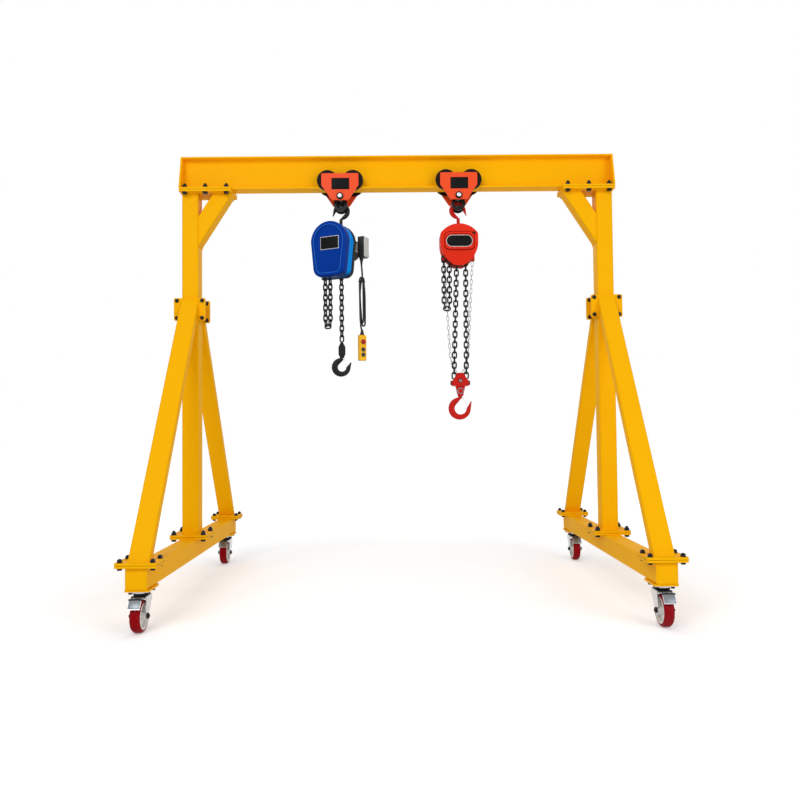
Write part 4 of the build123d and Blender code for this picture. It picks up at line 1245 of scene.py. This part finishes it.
def block_fasteners():
    """Bolts on the case, then the pins, washers and axle nuts of the bottom block."""
    body = "chain_block"
    places = [AT_RIGHT @ at(x, -BLOCK_FACE, z) @ TO_REAR for x, z in REAR_BOLTS]
    places.append(AT_RIGHT @ at(FRONT_BOLT[0], BLOCK_FACE, FRONT_BOLT[1]) @ TO_FRONT)
    bolts = copies(bolt_head(across_flats=0.013, height=0.006), places)
    piece("block_bolts", bolts, "black_steel", body, sharp=30)
    bm = bmesh.new()
    for end in FRONT_REAR:
        turn = facing((0, end, 0))
        pin = prism(24, radius=0.0085, depth=0.005, chamfer=0.0012)
        add(bm, pin, AT_RIGHT @ at(0, end * (CHEEK_FACE - 0.0002), SHEAVE_PIN_Z) @ turn)
        washer = ring(inner=0.0135, outer=0.0185, depth=0.002)
        add(bm, washer, AT_RIGHT @ at(0, end * CHEEK_FACE, HOOK_WASHER_Z) @ turn)
    piece("block_pins", bm, "flap_grey", body)
    ends = [AT_RIGHT @ at(side * AXLE_END, 0, AXLE_Z) @ facing((side, 0, 0)) for side in LEFT_RIGHT]
    nuts = copies(prism(6, radius=0.0125, depth=0.006, chamfer=0.001), ends)
    piece("block_axle_nuts", nuts, "black_steel", body, sharp=30)


block_core()
block_label()
block_fasteners()


# Chains

def islands(node):
    """The separate solids of a node, each as an array of its corner points."""
    bm = bmesh.new()
    bm.from_mesh(nodes[node].data)
    bmesh.ops.remove_doubles(bm, verts=bm.verts, dist=SAME_POINT)
    left = set(bm.verts)
    found = []
    while left:
        heap = [left.pop()]
        group = []
        while heap:
            vertex = heap.pop()
            group.append(tuple(vertex.co))
            for edge in vertex.link_edges:
                other = edge.other_vert(vertex)
                if other in left:
                    left.remove(other)
                    heap.append(other)
        found.append(np.array(group))
    bm.free()
    return found


def link_place(points):
    """Where a link lies: its length on Z and its width on X."""
    middle = (points.max(0) + points.min(0)) / 2
    axes = np.linalg.eigh(np.cov((points - points.mean(0)).T))[1]
    long, wide = Vector(axes[:, 2]), Vector(axes[:, 1])
    turn = Matrix((wide, long.cross(wide), long)).transposed().to_4x4()
    return Matrix.Translation(middle) @ turn


def chain_link(pitch, wire, inner_width, arc_steps=8, sides=10):
    """One round-bar link with its length on Z."""
    bend = (inner_width + wire) / 2
    straight = (pitch + wire) / 2 - bend
    places = []
    for end in LEFT_RIGHT:
        for step in range(arc_steps + 1):
            angle = math.pi * step / arc_steps + (0 if end > 0 else math.pi)
            x = bend * math.cos(angle)
            z = bend * math.sin(angle) + end * straight
            along = Matrix.Rotation(-angle, 4, "Y")
            places.append(Matrix.Translation((x, 0, z)) @ along @ Matrix.Scale(wire / 2, 4))
    return ring_sweep(places, sides, True)


def dress_chain(node, body, look, reach_z, pitch, wire, inner_width, **more):
    """Smooth links in place of the plain ones, with each strand led on upwards into its housing."""
    places = [link_place(points) for points in islands(node)]
    spots = [place.translation for place in places]
    laid = []
    for place in places:
        laid.append(place)
        near = [spot for spot in spots if (spot - place.translation).length < 1.3 * pitch]
        if all(spot.z < place.translation.z + 0.3 * pitch for spot in near):
            rise = Vector((0, 0, pitch if place[2][2] > 0 else -pitch))
            step = Matrix.Translation(place.to_3x3() @ rise)
            while place.translation.z < reach_z:
                place = step @ place @ Matrix.Rotation(math.pi / 2, 4, "Z")
                laid.append(place)
    links = copies(chain_link(pitch, wire, inner_width, **more), laid)
    made = piece(f"{node}_links", links, look, body, sharp=60)
    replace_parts(made, node)


LOAD_CHAIN = {"pitch": 0.0303, "wire": 0.009, "inner_width": 0.013}
HAND_CHAIN = {"pitch": 0.0273, "wire": 0.0032, "inner_width": 0.009, "arc_steps": 6, "sides": 8}

dress_chain("electric_hoist_load_chain", "electric_hoist", "black_steel", reach_z=1.82, **LOAD_CHAIN)
dress_chain("chain_block_load_chain", "chain_block", "black_steel", reach_z=1.93, **LOAD_CHAIN)
dress_chain("chain_block_hand_chain", "chain_block", "silver_chain", reach_z=0, **HAND_CHAIN)
